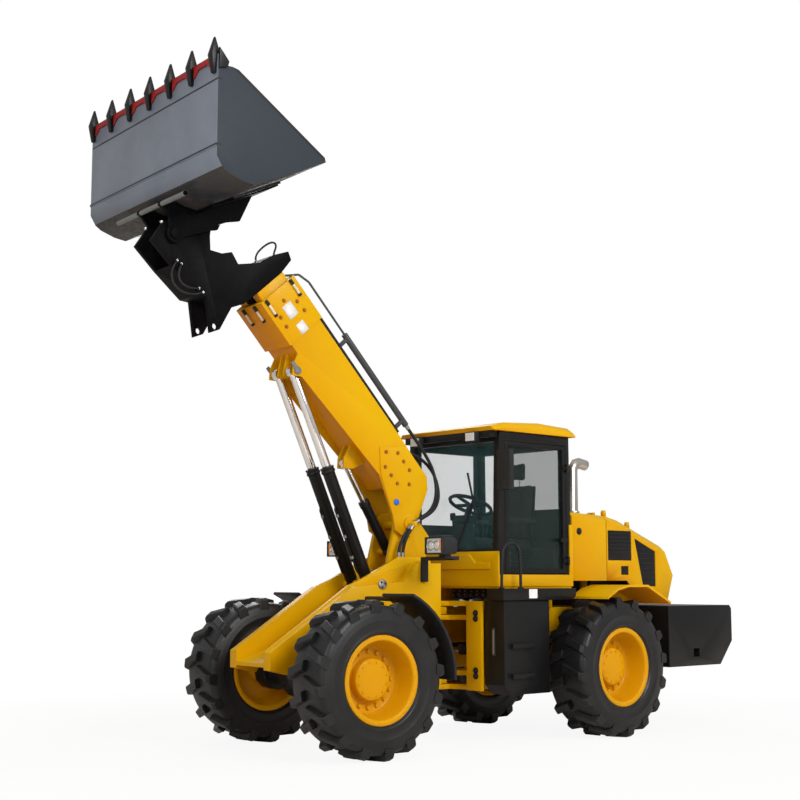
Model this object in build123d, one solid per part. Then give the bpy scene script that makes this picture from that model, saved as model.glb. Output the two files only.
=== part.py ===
import math
import os
from build123d import *

# Frame: +X forward, +Y left, +Z up, millimetres, ground under the centre joint at the origin.
steerRest = -6.0
axleX = 1260.0
axleZ = 585.0
wheelY = 795.0
tyreR = 585.0
pivotX, pivotZ = 423.0, 1770.0
boomAngle = 48.5
boomHalf = 180.0
liftBase = (770.0, 1280.0)
liftEye = (1600.0, -30.0)
compBase = (500.0, 1550.0)
compEye = (700.0, -60.0)
tiltBase = (1800.0, 318.0)
tiltPin = (3030.0, -226.0)
tiltLever = (240.0, 153.0)
steerRear = (-620.0, 170.0)
steerFront = (150.0, 200.0)
steerZ = 740.0
doorHinge = (-1046.0, 566.0)
hoodHinge = (-1580.0, 1906.0)
lugCount = 16
seatR = 302.0
bucketHalf = 1050.0
lipX, lipTop = 2735.0, 5000.0
toothTip = 5130.0
clevisX = -3080.0
upperEars, lowerEars = (985.0, 1100.0), (415.0, 530.0)
swivelR = 20.0
hitchBar = (2717.0, 4099.0)

cosB = math.cos(math.radians(boomAngle))
sinB = math.sin(math.radians(boomAngle))
boomPlane = Plane(origin=(pivotX, 0, pivotZ), x_dir=(cosB, 0, sinB), z_dir=(0, -1, 0))


def at(u, v):
    return (pivotX + u * cosB - v * sinB, pivotZ + u * sinB + v * cosB)


leverPoint = (
    tiltPin[0] + tiltLever[0] * math.cos(math.radians(tiltLever[1])),
    tiltPin[1] + tiltLever[0] * math.sin(math.radians(tiltLever[1])),
)


def prism(points, low, high, plane=Plane.XZ):
    face = make_face(Polyline(*points, close=True))
    solid = extrude(plane * face, high - low)
    return Pos(0, high, 0) * solid


def slab(points, low, high):
    face = make_face(Polyline(*points, close=True))
    return Pos(0, 0, low) * extrude(face, high - low)


def pair(points, low, high, plane=Plane.XZ):
    return prism(points, low, high, plane) + prism(points, -high, -low, plane)


def box(x0, x1, y0, y1, z0, z1):
    return Pos((x0 + x1) / 2, (y0 + y1) / 2, (z0 + z1) / 2) * Box(x1 - x0, y1 - y0, z1 - z0)


def rod(a, b, radius):
    d = Vector(*b) - Vector(*a)
    return Solid.make_cylinder(radius, d.length, Plane(origin=a, z_dir=d))


def bar(a, b, radius, count=12):
    d = Vector(*b) - Vector(*a)
    face = Plane(origin=a, z_dir=d) * RegularPolygon(radius, count)
    return Solid.extrude(face.face(), d)


def lug(x, z, radius, low, high, count=12):
    return bar((x, low, z), (x, high, z), radius, count)


def upright(x, y, radius, low, high, count=12):
    return bar((x, y, low), (x, y, high), radius, count)


def pin(x, z, radius, low, high):
    return rod((x, low, z), (x, high, z), radius)


def post(x, y, radius, low, high):
    return rod((x, y, low), (x, y, high), radius)


def sides(shape):
    return [shape, mirror(shape, about=Plane.XZ)]


def both(shape):
    return shape + mirror(shape, about=Plane.XZ)


def gather(shapes):
    solids = []
    for shape in shapes:
        solids.extend(shape.solids())
    return Compound(children=solids)


def drum(profile, count):
    # flat-faced turned ring about Y; profile rows are (apothem, y)
    def spot(r, y, k):
        a = 2 * math.pi * (k + 0.5) / count
        far = r / math.cos(math.pi / count)
        return Vector(far * math.cos(a), y, far * math.sin(a))

    faces = []
    for i, (r, y) in enumerate(profile):
        r2, y2 = profile[(i + 1) % len(profile)]
        for k in range(count):
            loop = [spot(r, y, k), spot(r2, y2, k), spot(r2, y2, k + 1), spot(r, y, k + 1)]
            faces.append(Face(Wire.make_polygon(loop, close=True)))
    return Solid(Shell(faces))


def block(rows):
    # flat-faced solid between two level rectangles; rows: z, rear x, front x, half width, middle y
    corners = []
    for z, rear, front, half, y in rows:
        corners.append([(rear, y - half, z), (front, y - half, z), (front, y + half, z), (rear, y + half, z)])
    low, high = corners
    loops = [low, high]
    for k in range(4):
        loops.append([low[k], low[(k + 1) % 4], high[(k + 1) % 4], high[k]])
    faces = [Face(Wire.make_polygon([Vector(*q) for q in loop], close=True)) for loop in loops]
    return Solid(Shell(faces))


def hose(points, radius, count=6):
    # flat-sided tube through hand-placed points, mitred at each of them
    spots = [Vector(*p) for p in points]
    runs = [(b - a).normalized() for a, b in zip(spots, spots[1:])]
    side = runs[0].cross(Vector(0.3, 0.2, 0.93)).normalized()
    up = runs[0].cross(side)
    turns = [2 * math.pi * k / count for k in range(count)]
    rings = [[spots[0] + side * (radius * math.cos(a)) + up * (radius * math.sin(a)) for a in turns]]
    for i, run in enumerate(runs):
        cut = (run + runs[i + 1]).normalized() if i + 1 < len(runs) else run
        rings.append([p + run * ((spots[i + 1] - p).dot(cut) / run.dot(cut)) for p in rings[-1]])
    loops = [rings[0], rings[-1]]
    for low, high in zip(rings, rings[1:]):
        loops.extend([low[k], low[(k + 1) % count], high[(k + 1) % count], high[k]] for k in range(count))
    return Solid(Shell([Face(Wire.make_polygon(loop, close=True)) for loop in loops]))


def boomHose(points, radius):
    # points are along the boom, to the left and up from its lower edge
    spots = []
    for u, y, v in points:
        x, z = at(u, v)
        spots.append((x, y, z))
    return hose(spots, radius)


def crowned(points, half, floor, size):
    # a long shell form whose two upper long edges are bevelled
    solid = prism(points, -half, half)
    edges = []
    for edge in solid.edges():
        c = edge.center()
        if abs(abs(c.Y) - half) < 1 and c.Z > floor and edge.bounding_box().size.X > 30:
            edges.append(edge)
    return chamfer(edges, size)


# rear half
def rearChassis():
    plate = [(-250, 560), (-250, 1080), (-2060, 1080), (-2060, 640), (-1620, 640), (-1500, 790)]
    plate = plate + [(-1020, 790), (-900, 560)]
    body = pair(plate, 300, 335)
    for x, low in ((-720, 560), (-2060, 640), (-1640, 820)):
        body = body + box(x, x + 30, -301, 301, low, 1080)
    fork = [(-330, 335), (-330, -335), (-150, -335), (-60, -95), (0, -95), (67, -67), (95, 0)]
    fork = fork + [(67, 67), (0, 95), (-60, 95), (-150, 335)]
    low, high = lowerEars[0], upperEars[1] + 40
    for z in upperEars + lowerEars:
        body = body + slab(fork, z, z + 40)
    body = body + both(box(-330, -60, 300, 335, low, high) + box(-90, -60, 300, 470, low, high))
    for z0, z1 in (upperEars, lowerEars):
        body = body + post(0, 0, 40, z0, z1 + 40)
    for y in (-steerRear[1], steerRear[1]):
        for z in (690, 765):
            ear = [(-700, -45), (-620, -45), (-588, -32), (-575, 0), (-588, 32), (-620, 45), (-700, 45)]
            body = body + Pos(0, y, 0) * slab(ear, z, z + 25)
        body = body + post(-620, y, 20, 690, 790)
    return body - both(box(-270, -95, 299, 313, 690, 790))


def axle(x):
    body = lug(x, axleZ, 105, -520, 520)
    body = body + lug(x, axleZ, 195, -150, 150)
    for side in (-1, 1):
        low, high = sorted((side * 440, side * 596))
        body = body + lug(x, axleZ, 150, low, high)
        low, high = sorted((side * 590, side * 740))
        body = body + pin(x, axleZ, 60, low, high)
        low, high = sorted((side * 235, side * 330))
        body = body + box(x - 120, x + 120, low, high, axleZ, 790)
    return body


def engineBlock():
    return box(-2300, -1680, -270, 270, 1090, 1480) + box(-2000, -1780, -330, 330, 1080, 1130)


def counterweight():
    outline = [(-2060, 545), (-2060, 1085), (-2990, 1085), (-3020, 1050), (-3020, 760), (-2830, 545)]
    body = prism(outline, -850, 850)
    for side in (-1, 1):
        low, high = sorted((side * 790, side * 900))
        body = body - box(-2510, -2420, low, high, 626, 700)
        cut = [(-2990, side * 900), (-3100, side * 900), (-3100, side * 700)]
        body = body - slab(cut, 500, 1200)
    for z in (820, 900):
        body = body + (box(clevisX, -3000, -60, 60, z, z + 30) + upright(clevisX, 0, 60, z, z + 30))
    return body - post(clevisX, 0, 20, 800, 950)


cowlLine = [(-1117, 1310), (-1575, 1310), (-1575, 1886), (-1117, 1905)]
hoodLine = [(-1585, 1310), (-1861, 1310), (-2036, 1133), (-2449, 1129), (-2534, 1359), (-2393, 1626)]
hoodLine = hoodLine + [(-1773, 1850), (-1585, 1886)]
hoodVents = [
    [(-1600, 1490), (-1930, 1490), (-1930, 1756), (-1600, 1756)],
    [(-1975, 1692), (-2275, 1576), (-2275, 1258), (-2090, 1258)],
    [(-1780, 1362), (-1885, 1362), (-1885, 1440), (-1780, 1440)],
]
hoodInner = [(-1500, 1000), (-2437, 1000), (-2437, 1135), (-2520, 1357), (-2384, 1616)]
hoodInner = hoodInner + [(-1770, 1838), (-1500, 1874)]


def engineCowl():
    body = crowned(cowlLine, 550, 1850, 40)
    inside = [(-1129, 1200), (-1700, 1200), (-1700, 1874), (-1129, 1893)]
    body = body - crowned(inside, 538, 1850, 40)
    body = body + box(-1150, -1117, -540, 540, 1310, 1330)
    feet = both(box(-1560, -1500, 300, 335, 1080, 1330) + box(-1560, -1500, 300, 545, 1312, 1330))
    body = body + feet
    for y in (-380, 380):
        for low in (y - 34, y + 22):
            body = body + box(-1574, -1556, low, low + 12, 1880, 1912)
            body = body + lug(hoodHinge[0], hoodHinge[1], 14, low, low + 12, 8)
        body = body + pin(hoodHinge[0], hoodHinge[1], 7, y - 34, y + 34)
    return body


def exhaustStack():
    x, y, high = -1360, 350, 2300
    path = Polyline((x, y, 1850), (x, y, high), (x - 30, y, high + 45), (x - 90, y, high + 60),
        (x - 180, y, high + 45))
    start = Plane(origin=(x, y, 1850), z_dir=(0, 0, 1))
    body = sweep(start * RegularPolygon(48, 14), path=path, transition=Transition.RIGHT)
    collar = upright(x, y, 62, 1880, 1925)
    body = body + collar - prism(cowlLine, -550, 550)
    return body - bar((x - 120, y, high + 55), (x - 220, y, high + 38), 40)


def rearFenders():
    arch = [(-1100, 1175), (-1237, 1246), (-1372, 1274), (-1640, 1274), (-1960, 1125)]
    inner = [(x + 4, z - 20) for x, z in arch[::-1]]
    body = pair(arch + inner, 545, 960)
    wall = [(-1240, 1228), (-1372, 1258), (-1640, 1258), (-1870, 1150), (-1870, 1060), (-1500, 1060),
        (-1450, 1200)]
    body = body + pair(wall, 545, 557)
    return body + both(box(-1800, -1700, 335, 550, 1062, 1080))


def sideTanks():
    one = [(-95, 470), (-95, 1150), (-640, 1150), (-640, 390), (-170, 390)]
    body = pair(one, 475, 700)
    for z in (520, 760):
        body = body + both(box(-420, -160, 695, 740, z, z + 40))
    return body + both(box(-580, -300, 335, 480, 900, 1050))


def platforms():
    one = [(-60, 1150), (-900, 1150), (-950, 1180), (-950, 1246), (-60, 1246)]
    return pair(one, 535, 730)


def cabFloor():
    body = box(-1100, -190, -550, 550, 1246, 1310)
    for x in (-420, -1000):
        for y in (-318, 318):
            body = body + box(x - 50, x + 50, y - 50, y + 50, 1080, 1250)
    apron = [(-562, 1262), (562, 1262), (562, 1552), (-562, 1552)]
    raised = [(-470, 1400), (470, 1400), (470, 1460), (300, 1460), (230, 1530), (-470, 1530)]
    body = body + Plane.YZ.offset(-190) * extrude(make_face(Polyline(*apron, close=True)), 14)
    body = body + Plane.YZ.offset(-178) * extrude(make_face(Polyline(*raised, close=True)), 12, taper=25)
    sill = box(-1110, -180, 550, 562, 1262, 1360) + box(-1110, -1068, 550, 562, 1350, 1790)
    return body + both(sill)


cabLine = [(-190, 1310), (-190, 1560), (-215, 2555), (-1085, 2555), (-1100, 1310)]
cabInner = [(-240, 1310), (-240, 1560), (-265, 2555), (-1035, 2555), (-1050, 1310)]


def cabFrame():
    body = prism(cabLine, -550, 550) - prism(cabInner, -500, 500)
    body = body - box(-300, -100, -485, 485, 1570, 2470)
    body = body - box(-1040, -270, 400, 600, 1368, 2475)
    body = body - box(-1010, -310, -600, -400, 1400, 2450)
    body = body - box(-1200, -1000, -470, 470, 1930, 2450)
    body = body + prism([(-215, 2500), (-130, 2500), (-130, 2555), (-215, 2555)], -520, 520)
    for z in (1480, 2280):
        for dz in (-36, 20):
            ear = box(doorHinge[0] - 14, doorHinge[0] + 6, 545, 566, z + dz, z + dz + 16)
            body = body + ear + upright(doorHinge[0], doorHinge[1], 14, z + dz, z + dz + 16, 8)
        body = body + post(doorHinge[0], doorHinge[1], 7, z - 30, z + 30)
    return body


def cabRoof():
    outline = [(-125, 2555), (-112, 2588), (-270, 2628), (-700, 2650), (-1080, 2632), (-1165, 2592),
        (-1155, 2555)]
    return crowned(outline, 575, 2580, 30)


def cabGlass():
    front = prism([(-208, 1570), (-214, 1570), (-235, 2470), (-229, 2470)], -485, 485)
    right = box(-1010, -310, -530, -524, 1400, 2450)
    back = box(-1076, -1070, -470, 470, 1930, 2450)
    return [front, right, back]


def operatorSeat():
    base = box(-950, -600, -220, 220, 1310, 1560)
    cushion = box(-980, -500, -250, 250, 1560, 1680)
    back = prism([(-860, 1670), (-980, 1670), (-1020, 2180), (-930, 2180)], -240, 240)
    head = prism([(-945, 2170), (-1010, 2170), (-1020, 2370), (-950, 2370)], -140, 140)
    arms = both(box(-930, -560, 255, 315, 1800, 1850) + box(-930, -870, 235, 300, 1700, 1830))
    return base + cushion + back + head + arms


def steeringConsole():
    body = prism([(-270, 1310), (-430, 1310), (-360, 1800), (-300, 1800)], -90, 90)
    body = body + bar((-340, 0, 1780), (-420, 0, 1960), 28, 8)
    tilt = Pos(-420, 0, 1960) * Rot(0, -24, 0)
    ring = drum([(169, 0), (177, -14), (193, -14), (201, 0), (193, 14), (177, 14)], 20)
    spoke = Box(360, 40, 14) + Box(40, 360, 14)
    return body + tilt * (Rot(90, 0, 0) * ring + spoke)


def cabLamps():
    lamps = []
    for y in (-340, 340):
        lamps.append(box(-130, -75, y - 60, y + 60, 2466, 2550))
        lamps.append(box(-1145, -1095, y - 60, y + 60, 2475, 2555))
    return lamps


def mirrors():
    arm = box(-250, -226, 550, 660, 2292, 2312) + box(-250, -226, 550, 660, 2112, 2132)
    arm = arm + box(-250, -130, 636, 660, 2292, 2312) + box(-250, -130, 636, 660, 2112, 2132)
    head = box(-165, -115, 610, 760, 2050, 2380)
    return sides(arm + head)


def hood():
    body = crowned(hoodLine, 550, 1600, 40) - crowned(hoodInner, 538, 1600, 40)
    for opening in hoodVents:
        body = body - pair(opening, 500, 600)
    for y in (-380, 380):
        leaf = prism([(-1590, 1880), (-1650, 1868), (-1650, 1884), (-1584, 1900)], y - 18, y + 18)
        leaf = leaf + lug(hoodHinge[0], hoodHinge[1], 14, y - 18, y + 18, 8)
        body = body + (leaf - pin(hoodHinge[0], hoodHinge[1], 7.06, y - 40, y + 40))
    return body


def hoodSlats():
    # rows: lower end x, z, upper end x, z and count of louvre blades
    rows = [(-1617, 1508, -1617, 1740, 7), (-2095, 1300, -1995, 1660, 8)]
    blades = []
    for x0, z0, x1, z1, count in rows:
        for k in range(count):
            t = (k + 0.5) / count
            x, z = x0 + (x1 - x0) * t, z0 + (z1 - z0) * t
            far = -1913 if x0 == x1 else max(-2262, -1965 - (1680 - z) * 2.586)
            blade = [(x, z), (far, z), (far, z + 9), (x, z + 9)]
            blades = blades + sides(prism(blade, 547, 553))
    return blades


def hoodGrilles():
    plates = []
    for opening in hoodVents:
        plates = plates + sides(prism(opening, 538, 547))
    return plates


def tailLamps():
    (x0, z0), (x1, z1) = hoodLine[4], hoodLine[5]
    run = math.hypot(x1 - x0, z1 - z0)
    strip = []
    for t, out in ((0.1, 0), (0.75, 0), (0.75, 14), (0.1, 14)):
        x = x0 + (x1 - x0) * t - (z1 - z0) * out / run
        strip.append((x, z0 + (z1 - z0) * t + (x1 - x0) * out / run))
    return sides(prism(strip, 465, 536))


# door
def doorFrame():
    body = box(-1035, -275, 500, 550, 1373, 2470)
    body = body - box(-998, -312, 480, 570, 1410, 2435)
    for z in (1480, 2280):
        leaf = box(doorHinge[0], -1000, 550, 562, z - 15, z + 15)
        knuckle = leaf + upright(doorHinge[0], doorHinge[1], 14, z - 15, z + 15, 8)
        body = body + (knuckle - post(doorHinge[0], doorHinge[1], 7.06, z - 40, z + 40))
    body = body + box(-1020, -940, 549, 580, 1640, 1675)
    return body


def doorGlass():
    return box(-998, -312, 522, 528, 1410, 2435)


# front half, built straight and turned to the rest angle at export
def frontChassis():
    low = lowerEars[0]
    tower = [(235, low), (235, 1500), (560, 1500), (905, 1330), (1050, 1270), (1800, 780)]
    tower = tower + [(1800, 640), (1620, 600), (1500, 790), (1020, 790), (940, low)]
    cheek = [(180, 450), (180, 1450), (430, 1450), (560, 1300), (1050, 1262), (1800, 772)]
    cheek = cheek + [(1800, 640), (1620, 600), (1500, 790), (1020, 790), (940, 450)]
    body = pair(tower, 205, 235) + pair(cheek, 233, 300)
    head = [(240, 1000), (240, 1450), (190, 1600), (190, 1675), (330, 1840), (400, 1880), (470, 1870),
        (530, 1810)]
    head = head + [(540, 1740), (600, 1500), (640, 1240), (640, 1000)]
    body = body + pair(head, 112, 150)
    body = body + box(235, 265, -206, 206, low, 1450)
    body = body + box(235, 940, -206, 206, low, low + 30)
    body = body + prism([(1080, 890), (1800, 690), (1800, 660), (1080, 860)], -206, 206)
    body = body + prism([(560, 1100), (940, 1060), (940, 1030), (560, 1070)], -206, 206)
    tongue = [(-90, 0), (-64, -64), (0, -90), (130, -160), (240, -160), (240, 160), (130, 160), (0, 90),
        (-64, 64)]
    for z0, z1 in (upperEars, lowerEars):
        ear = slab(tongue, z0 + 47, z1 - 7)
        body = body + (ear - post(0, 0, 40.06, z0 + 40, z1))
    for y in (-steerFront[1], steerFront[1]):
        for z in (690, 765):
            ear = [(240, -45), (150, -45), (118, -32), (105, 0), (118, 32), (150, 45), (240, 45)]
            body = body + Pos(0, y, 0) * slab(ear, z, z + 25)
    for side in (-1, 1):
        a, b = sorted((side * 95, side * 320))
        body = body - box(60, 345, a, b, 715.5, 764.5)
    body = body + pin(pivotX, pivotZ, 40, -206, 206)
    body = body + lug(pivotX, pivotZ, 58, 196, 206, 8) + lug(pivotX, pivotZ, 58, -206, -196, 8)
    body = body + pin(pivotX, pivotZ, swivelR, 205, 278)
    body = body + pin(liftBase[0], liftBase[1], 35, -215, 215)
    body = body + pin(compBase[0], compBase[1], 30, -130, 130)
    return body


def frontMudguards():
    arc = []
    for r, turns in ((687, range(11)), (667, range(10, -1, -1))):
        for k in turns:
            a = math.radians(114 + 68 * k / 10)
            arc.append((axleX + r * math.cos(a), axleZ + r * math.sin(a)))
    guard = prism(arc, 600, 1000)
    for deg in (120, 150):
        a = math.radians(deg)
        guard = guard + lug(axleX + 676 * math.cos(a), axleZ + 676 * math.sin(a), 18, 300, 640, 8)
    return sides(guard)


def headlamps():
    bracket = box(330, 390, 300, 330, 1300, 1500) + box(330, 390, 300, 730, 1470, 1500)
    bracket = bracket + box(420, 480, 660, 740, 1480, 1520) + box(380, 480, 640, 740, 1480, 1500)
    lamp = prism([(410, 1530), (410, 1620), (450, 1650), (545, 1650), (545, 1515), (440, 1515)], 590, 810)
    return sides(bracket + lamp)


def headlampLenses():
    return sides(box(545, 556, 602, 798, 1525, 1640))


# boom
hoseLine = (120.0, 558.0)
hoseR, thinHoseR = 14.0, 8.0
# hoses from the boom's pivot to its top: along the boom, left, up
boomRoutes = [
    [(-4.5, 228, 21), (-21, 228, 99), (-45, 222, 190), (-48, 200, 285), (-15, 172, 385), (55, 145, 470),
     (150, 127, 530), (280, 120, 556), (430, 120, 558), (600, 120, 558)],
    [(-4.5, 258, 21), (-22, 258, 100), (-52, 248, 196), (-58, 222, 296), (-25, 185, 398), (45, 140, 482),
     (135, 100, 535), (240, 72, 538), (330, 62, 505), (388, 60, 455), (400, 60, 415), (400, 60, 405)],
]
# the same hoses from the pivot down to the tower: x, y, z
towerRoutes = [
    [(435.6, 228, 1754.0), (472, 228, 1708), (518, 224, 1640), (543, 221, 1570), (548, 220, 1520),
        (548, 220, 1500)],
    [(434.7, 258, 1753.4), (468, 257, 1706), (500, 244, 1640), (509, 228, 1570), (510, 220, 1520),
        (510, 220, 1500)],
]
# loops under the neck and beside its top ear: along the boom, left, up
neckRoutes = [
    [(2862, 150, -335), (2862, 160, -335), (2860, 172, -348), (2852, 178, -382), (2830, 179, -428),
     (2790, 179, -464), (2735, 179, -482), (2672, 179, -470), (2612, 178, -424), (2572, 174, -366),
     (2556, 164, -318), (2552, 158, -310), (2552, 150, -310)],
    [(2822, 150, -322), (2822, 164, -322), (2818, 184, -340), (2806, 198, -374), (2780, 201, -412),
     (2738, 201, -436), (2694, 201, -430), (2640, 198, -392), (2608, 184, -346), (2597, 168, -324),
     (2595, 159, -320), (2595, 150, -320)],
    [(2437.5, 50, 300.0), (2451.2, 50, 302.5), (2476, 50, 320), (2494, 50, 358), (2500, 50, 410),
     (2499, 50, 465), (2489, 50, 517), (2466, 50, 546), (2440, 52, 538), (2424, 58, 508),
     (2414, 70, 475), (2404, 88, 448), (2395, 101, 430), (2395, 112, 430)],
]


def boomHoses():
    return [boomHose(route, hoseR) for route in boomRoutes]


def towerHoses():
    return [hose(route, hoseR) for route in towerRoutes]


def neckHoses():
    return [boomHose(route, thinHoseR) for route in neckRoutes]



def pads(start, end, sideY, top, low):
    side = [(start, 150), (end, 150), (end, 320), (start, 320)]
    body = pair(side, sideY[0], sideY[1], boomPlane)
    for v0, v1 in (top, low):
        flat = [(start, v0), (end, v0), (end, v1), (start, v1)]
        body = body + pair(flat, 80, 140, boomPlane)
    return body


def outerBoom():
    plate = [(-91, -32), (-40, 80), (100, 342), (174, 400), (627, 413), (2200, 405), (2200, 60), (1700, 60)]
    plate = plate + [(1660, -30), (1600, -90), (1540, -30), (488, 42), (161, -75), (52, -137), (-60, -105)]
    body = pair(plate, 166, 180, boomPlane)
    top = [(150, 378), (174, 400), (627, 405), (2200, 405), (2200, 391), (340, 391)]
    body = body + prism(top, -167, 167, boomPlane)
    body = body + prism([(330, 60), (330, 74), (2200, 74), (2200, 60)], -167, 167, boomPlane)
    body = body + prism([(330, 60), (344, 60), (344, 395), (330, 395)], -167, 167, boomPlane)
    doubler = [(-91, -32), (-40, 80), (86, 333), (174, 400), (490, 400), (660, 190), (480, 50),
        (161, -75), (52, -137), (-60, -105)]
    body = body + pair(doubler, 179, 190, boomPlane)
    for side in (-1, 1):
        low, high = sorted((side * 151, side * 194))
        body = body + lug(pivotX, pivotZ, 80, low, high)
    body = body - pin(pivotX, pivotZ, 40.06, -220, 220)
    ear = [(1540, -30), (1600, -95), (1660, -30), (1720, 62), (1480, 62)]
    body = body + pair(ear, 34, 48, boomPlane)
    comp = [(640, -60), (700, -120), (760, -60), (800, 62), (600, 62)]
    body = body + pair(comp, 32, 48, boomPlane)
    collar = [(1790, 430), (2200, 430), (2200, 38), (1790, 38)]
    body = body + pair(collar, 178, 192, boomPlane)
    body = body + prism([(1790, 404), (2200, 404), (2200, 430), (1790, 430)], -180, 180, boomPlane)
    body = body + prism([(1790, 38), (2200, 38), (2200, 61), (1790, 61)], -180, 180, boomPlane)
    return body + pads(2060, 2190, (158.08, 167), (383.08, 392), (73, 81.92))


def hoseTube():
    y, v = hoseLine
    a, b = at(600, v), at(1540, v)
    ends = ((a[0], y, a[1]), (b[0], y, b[1]))
    tube = bar(ends[0], ends[1], 26)
    for u in (640, 1480):
        tube = tube + prism([(u, 405), (u + 30, 405), (u + 30, v), (u, v)], y - 15, y + 15, boomPlane)
    return tube - rod(ends[0], ends[1], 12)


def innerBoom():
    body = prism([(440, 82), (2270, 82), (2270, 383), (440, 383)], -158, 158, boomPlane)
    body = body - prism([(430, 94), (2280, 94), (2280, 371), (430, 371)], -146, 146, boomPlane)
    body = body - prism([(2130, 70), (2280, 70), (2280, 100), (2130, 100)], -70, 70, boomPlane)
    base = at(*tiltBase)
    body = body + pads(445, 560, (157, 165.92), (382, 390.92), (74.08, 83))
    return body + pin(base[0], base[1], 25, -150, 150)


neckLine = [(2270, 383), (2295, 519), (2363, 541), (2417, 412), (2446, 252), (2542, 95), (2645, 110),
    (2686, 29)]
neckLine = neckLine + [(2762, -37), (2847, 30), (2905, 95), (3002, -5), (3110, -150), (3150, -226),
    (3100, -402)]
neckLine = neckLine + [(2858, -386), (2560, -348)]
neckLine = neckLine + [(2507, -299), (2276, -450), (2248, -370), (2319, -169), (2275, -65), (2270, 82)]


def gooseneck():
    body = pair(neckLine, 112, 150, boomPlane)
    top = [(2270, 371), (2270, 383), (2417, 412), (2446, 252), (2480, 196), (2466, 188), (2430, 245)]
    body = body + prism(top + [(2404, 395)], -115, 115, boomPlane)
    web = [(2275, -65), (2319, -169), (2507, -299), (2560, -348), (2858, -386), (2858, -370)]
    web = web + [(2568, -332), (2517, -285)]
    body = body + prism(web + [(2332, -158), (2290, -60), (2276, 30), (2262, 30)], -115, 115, boomPlane)
    hole = at(2290, -385)
    p = at(*tiltPin)
    for side in (-1, 1):
        low, high = sorted((side * 105, side * 196))
        body = body + pin(p[0], p[1], 30, low, high)
        low, high = sorted((side * 195, side * 205))
        body = body + lug(p[0], p[1], 45, low, high, 8)
    return body - pin(hole[0], hole[1], 25, -300, 300)


def hoseRod():
    y, v = hoseLine
    stops = [(700, v), (2060, v), (2160, v - 40), (2240, 383)]
    body = None
    for (u0, v0), (u1, v1) in zip(stops, stops[1:]):
        a, b = at(u0, v0), at(u1, v1)
        piece = bar((a[0], y, a[1]), (b[0], y, b[1]), 10, 8)
        body = piece if body is None else body + piece
    inside = prism([(440, 70), (2270, 70), (2270, 383), (440, 383)], -158, 158, boomPlane)
    return body - inside


# tool
backLine = [(2420, 4093), (1824, 4366)]
bucketOuter = [(lipX, lipTop), (lipX, 4260), (2690, 4185), (2640, 4150), (2520, 4108), (2420, 4093),
    (1824, 4366)]
bucketInner = [(lipX - 20, lipTop), (lipX - 20, 4266), (2676, 4202), (2630, 4170), (2515, 4129),
    (2424, 4115), (1833, 4386)]


def bucket():
    shell = bucketOuter + bucketInner[::-1]
    body = prism(shell, -bucketHalf, bucketHalf)
    cheek = [(lipX, 4925)] + bucketOuter[1:] + [(1833, 4400), (2569, 4914), (2617, 4925)]
    body = body + pair(cheek, bucketHalf - 20, bucketHalf)
    body = body + box(lipX - 0.5, lipX + 8, -bucketHalf, bucketHalf, 4330, 4350)
    for y in (-520, 520):
        rib = [(2300, 4148), (1900, 4331), (1890, 4316), (2290, 4133)]
        body = body + prism(rib, y - 10, y + 10)
    return body


def cuttingEdge():
    # red guard plates between the teeth, with a hollow lower edge
    guards = []
    for k in range(6):
        a, b = toothPlace(k) + 36, toothPlace(k + 1) - 36
        third = (b - a) / 4
        line = [(a, lipTop), (a, 4905), (a + third, 4955), (b - third, 4955), (b, 4905), (b, lipTop)]
        guards.append(Plane.YZ.offset(lipX) * extrude(make_face(Polyline(*line, close=True)), 14))
    return guards


def toothPlace(k):
    return -bucketHalf + 45 + (2 * bucketHalf - 90) * k / 6


def bucketTeeth():
    teeth = []
    for k in range(7):
        y = toothPlace(k)
        leg = block([(4865, lipX, lipX + 24, 20, y), (lipTop, lipX, lipX + 46, 34, y)])
        tip = block([(lipTop, lipX - 24, lipX + 46, 34, y), (toothTip, lipX + 4, lipX + 14, 10, y)])
        teeth.append(leg + tip)
    wing = [(2735, 4890), (2735, 5045), (2700, 5005), (2655, 4950), (2666, 4908), (2700, 4900)]
    return teeth + sides(prism(wing, bucketHalf, bucketHalf + 20))


def quickHitch():
    p = at(*tiltPin)
    s = at(*leverPoint)
    side = [(p[0] + 60, p[1]), (p[0], p[1] - 65), (p[0] - 70, p[1] - 20), (2284, 3962), (2235, 4010),
        (2155, 4044)]
    side = side + [(2049, 4067), (1928, 4317), (1870, 4343), (2420, 4093), (2520, 4108), (2640, 4150)]
    body = pair(side, 160, 190)
    for sign in (-1, 1):
        low, high = sorted((sign * 160, sign * 190))
        body = body + lug(p[0], p[1], 72, low, high, 10)
    body = body - pin(p[0], p[1], 30.06, -300, 300)
    lever = [(s[0] - 50, s[1]), (s[0] + 10, s[1] - 54), (s[0] + 55, s[1]), (2405, 4085), (2262, 4150),
        (2210, 4060)]
    body = body + pair(lever, 46, 66)
    for sign in (-1, 1):
        low, high = sorted((sign * 46, sign * 66))
        body = body + lug(s[0], s[1], 56, low, high, 10)
    plate = [(2420, 4093), (1856, 4351), (1846, 4329), (2416, 4068)]
    body = body + prism(plate, -420, 420)
    x, z = hitchBar
    ear = [(2630, 4120), (2655, 4010), (x - 5, z - 26), (x + 22, z - 10), (x + 22, z + 14), (x, z + 28)]
    return body + pair(ear, 160, 190) + bar((x, -560, z), (x, 560, z), 18, 8)


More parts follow.
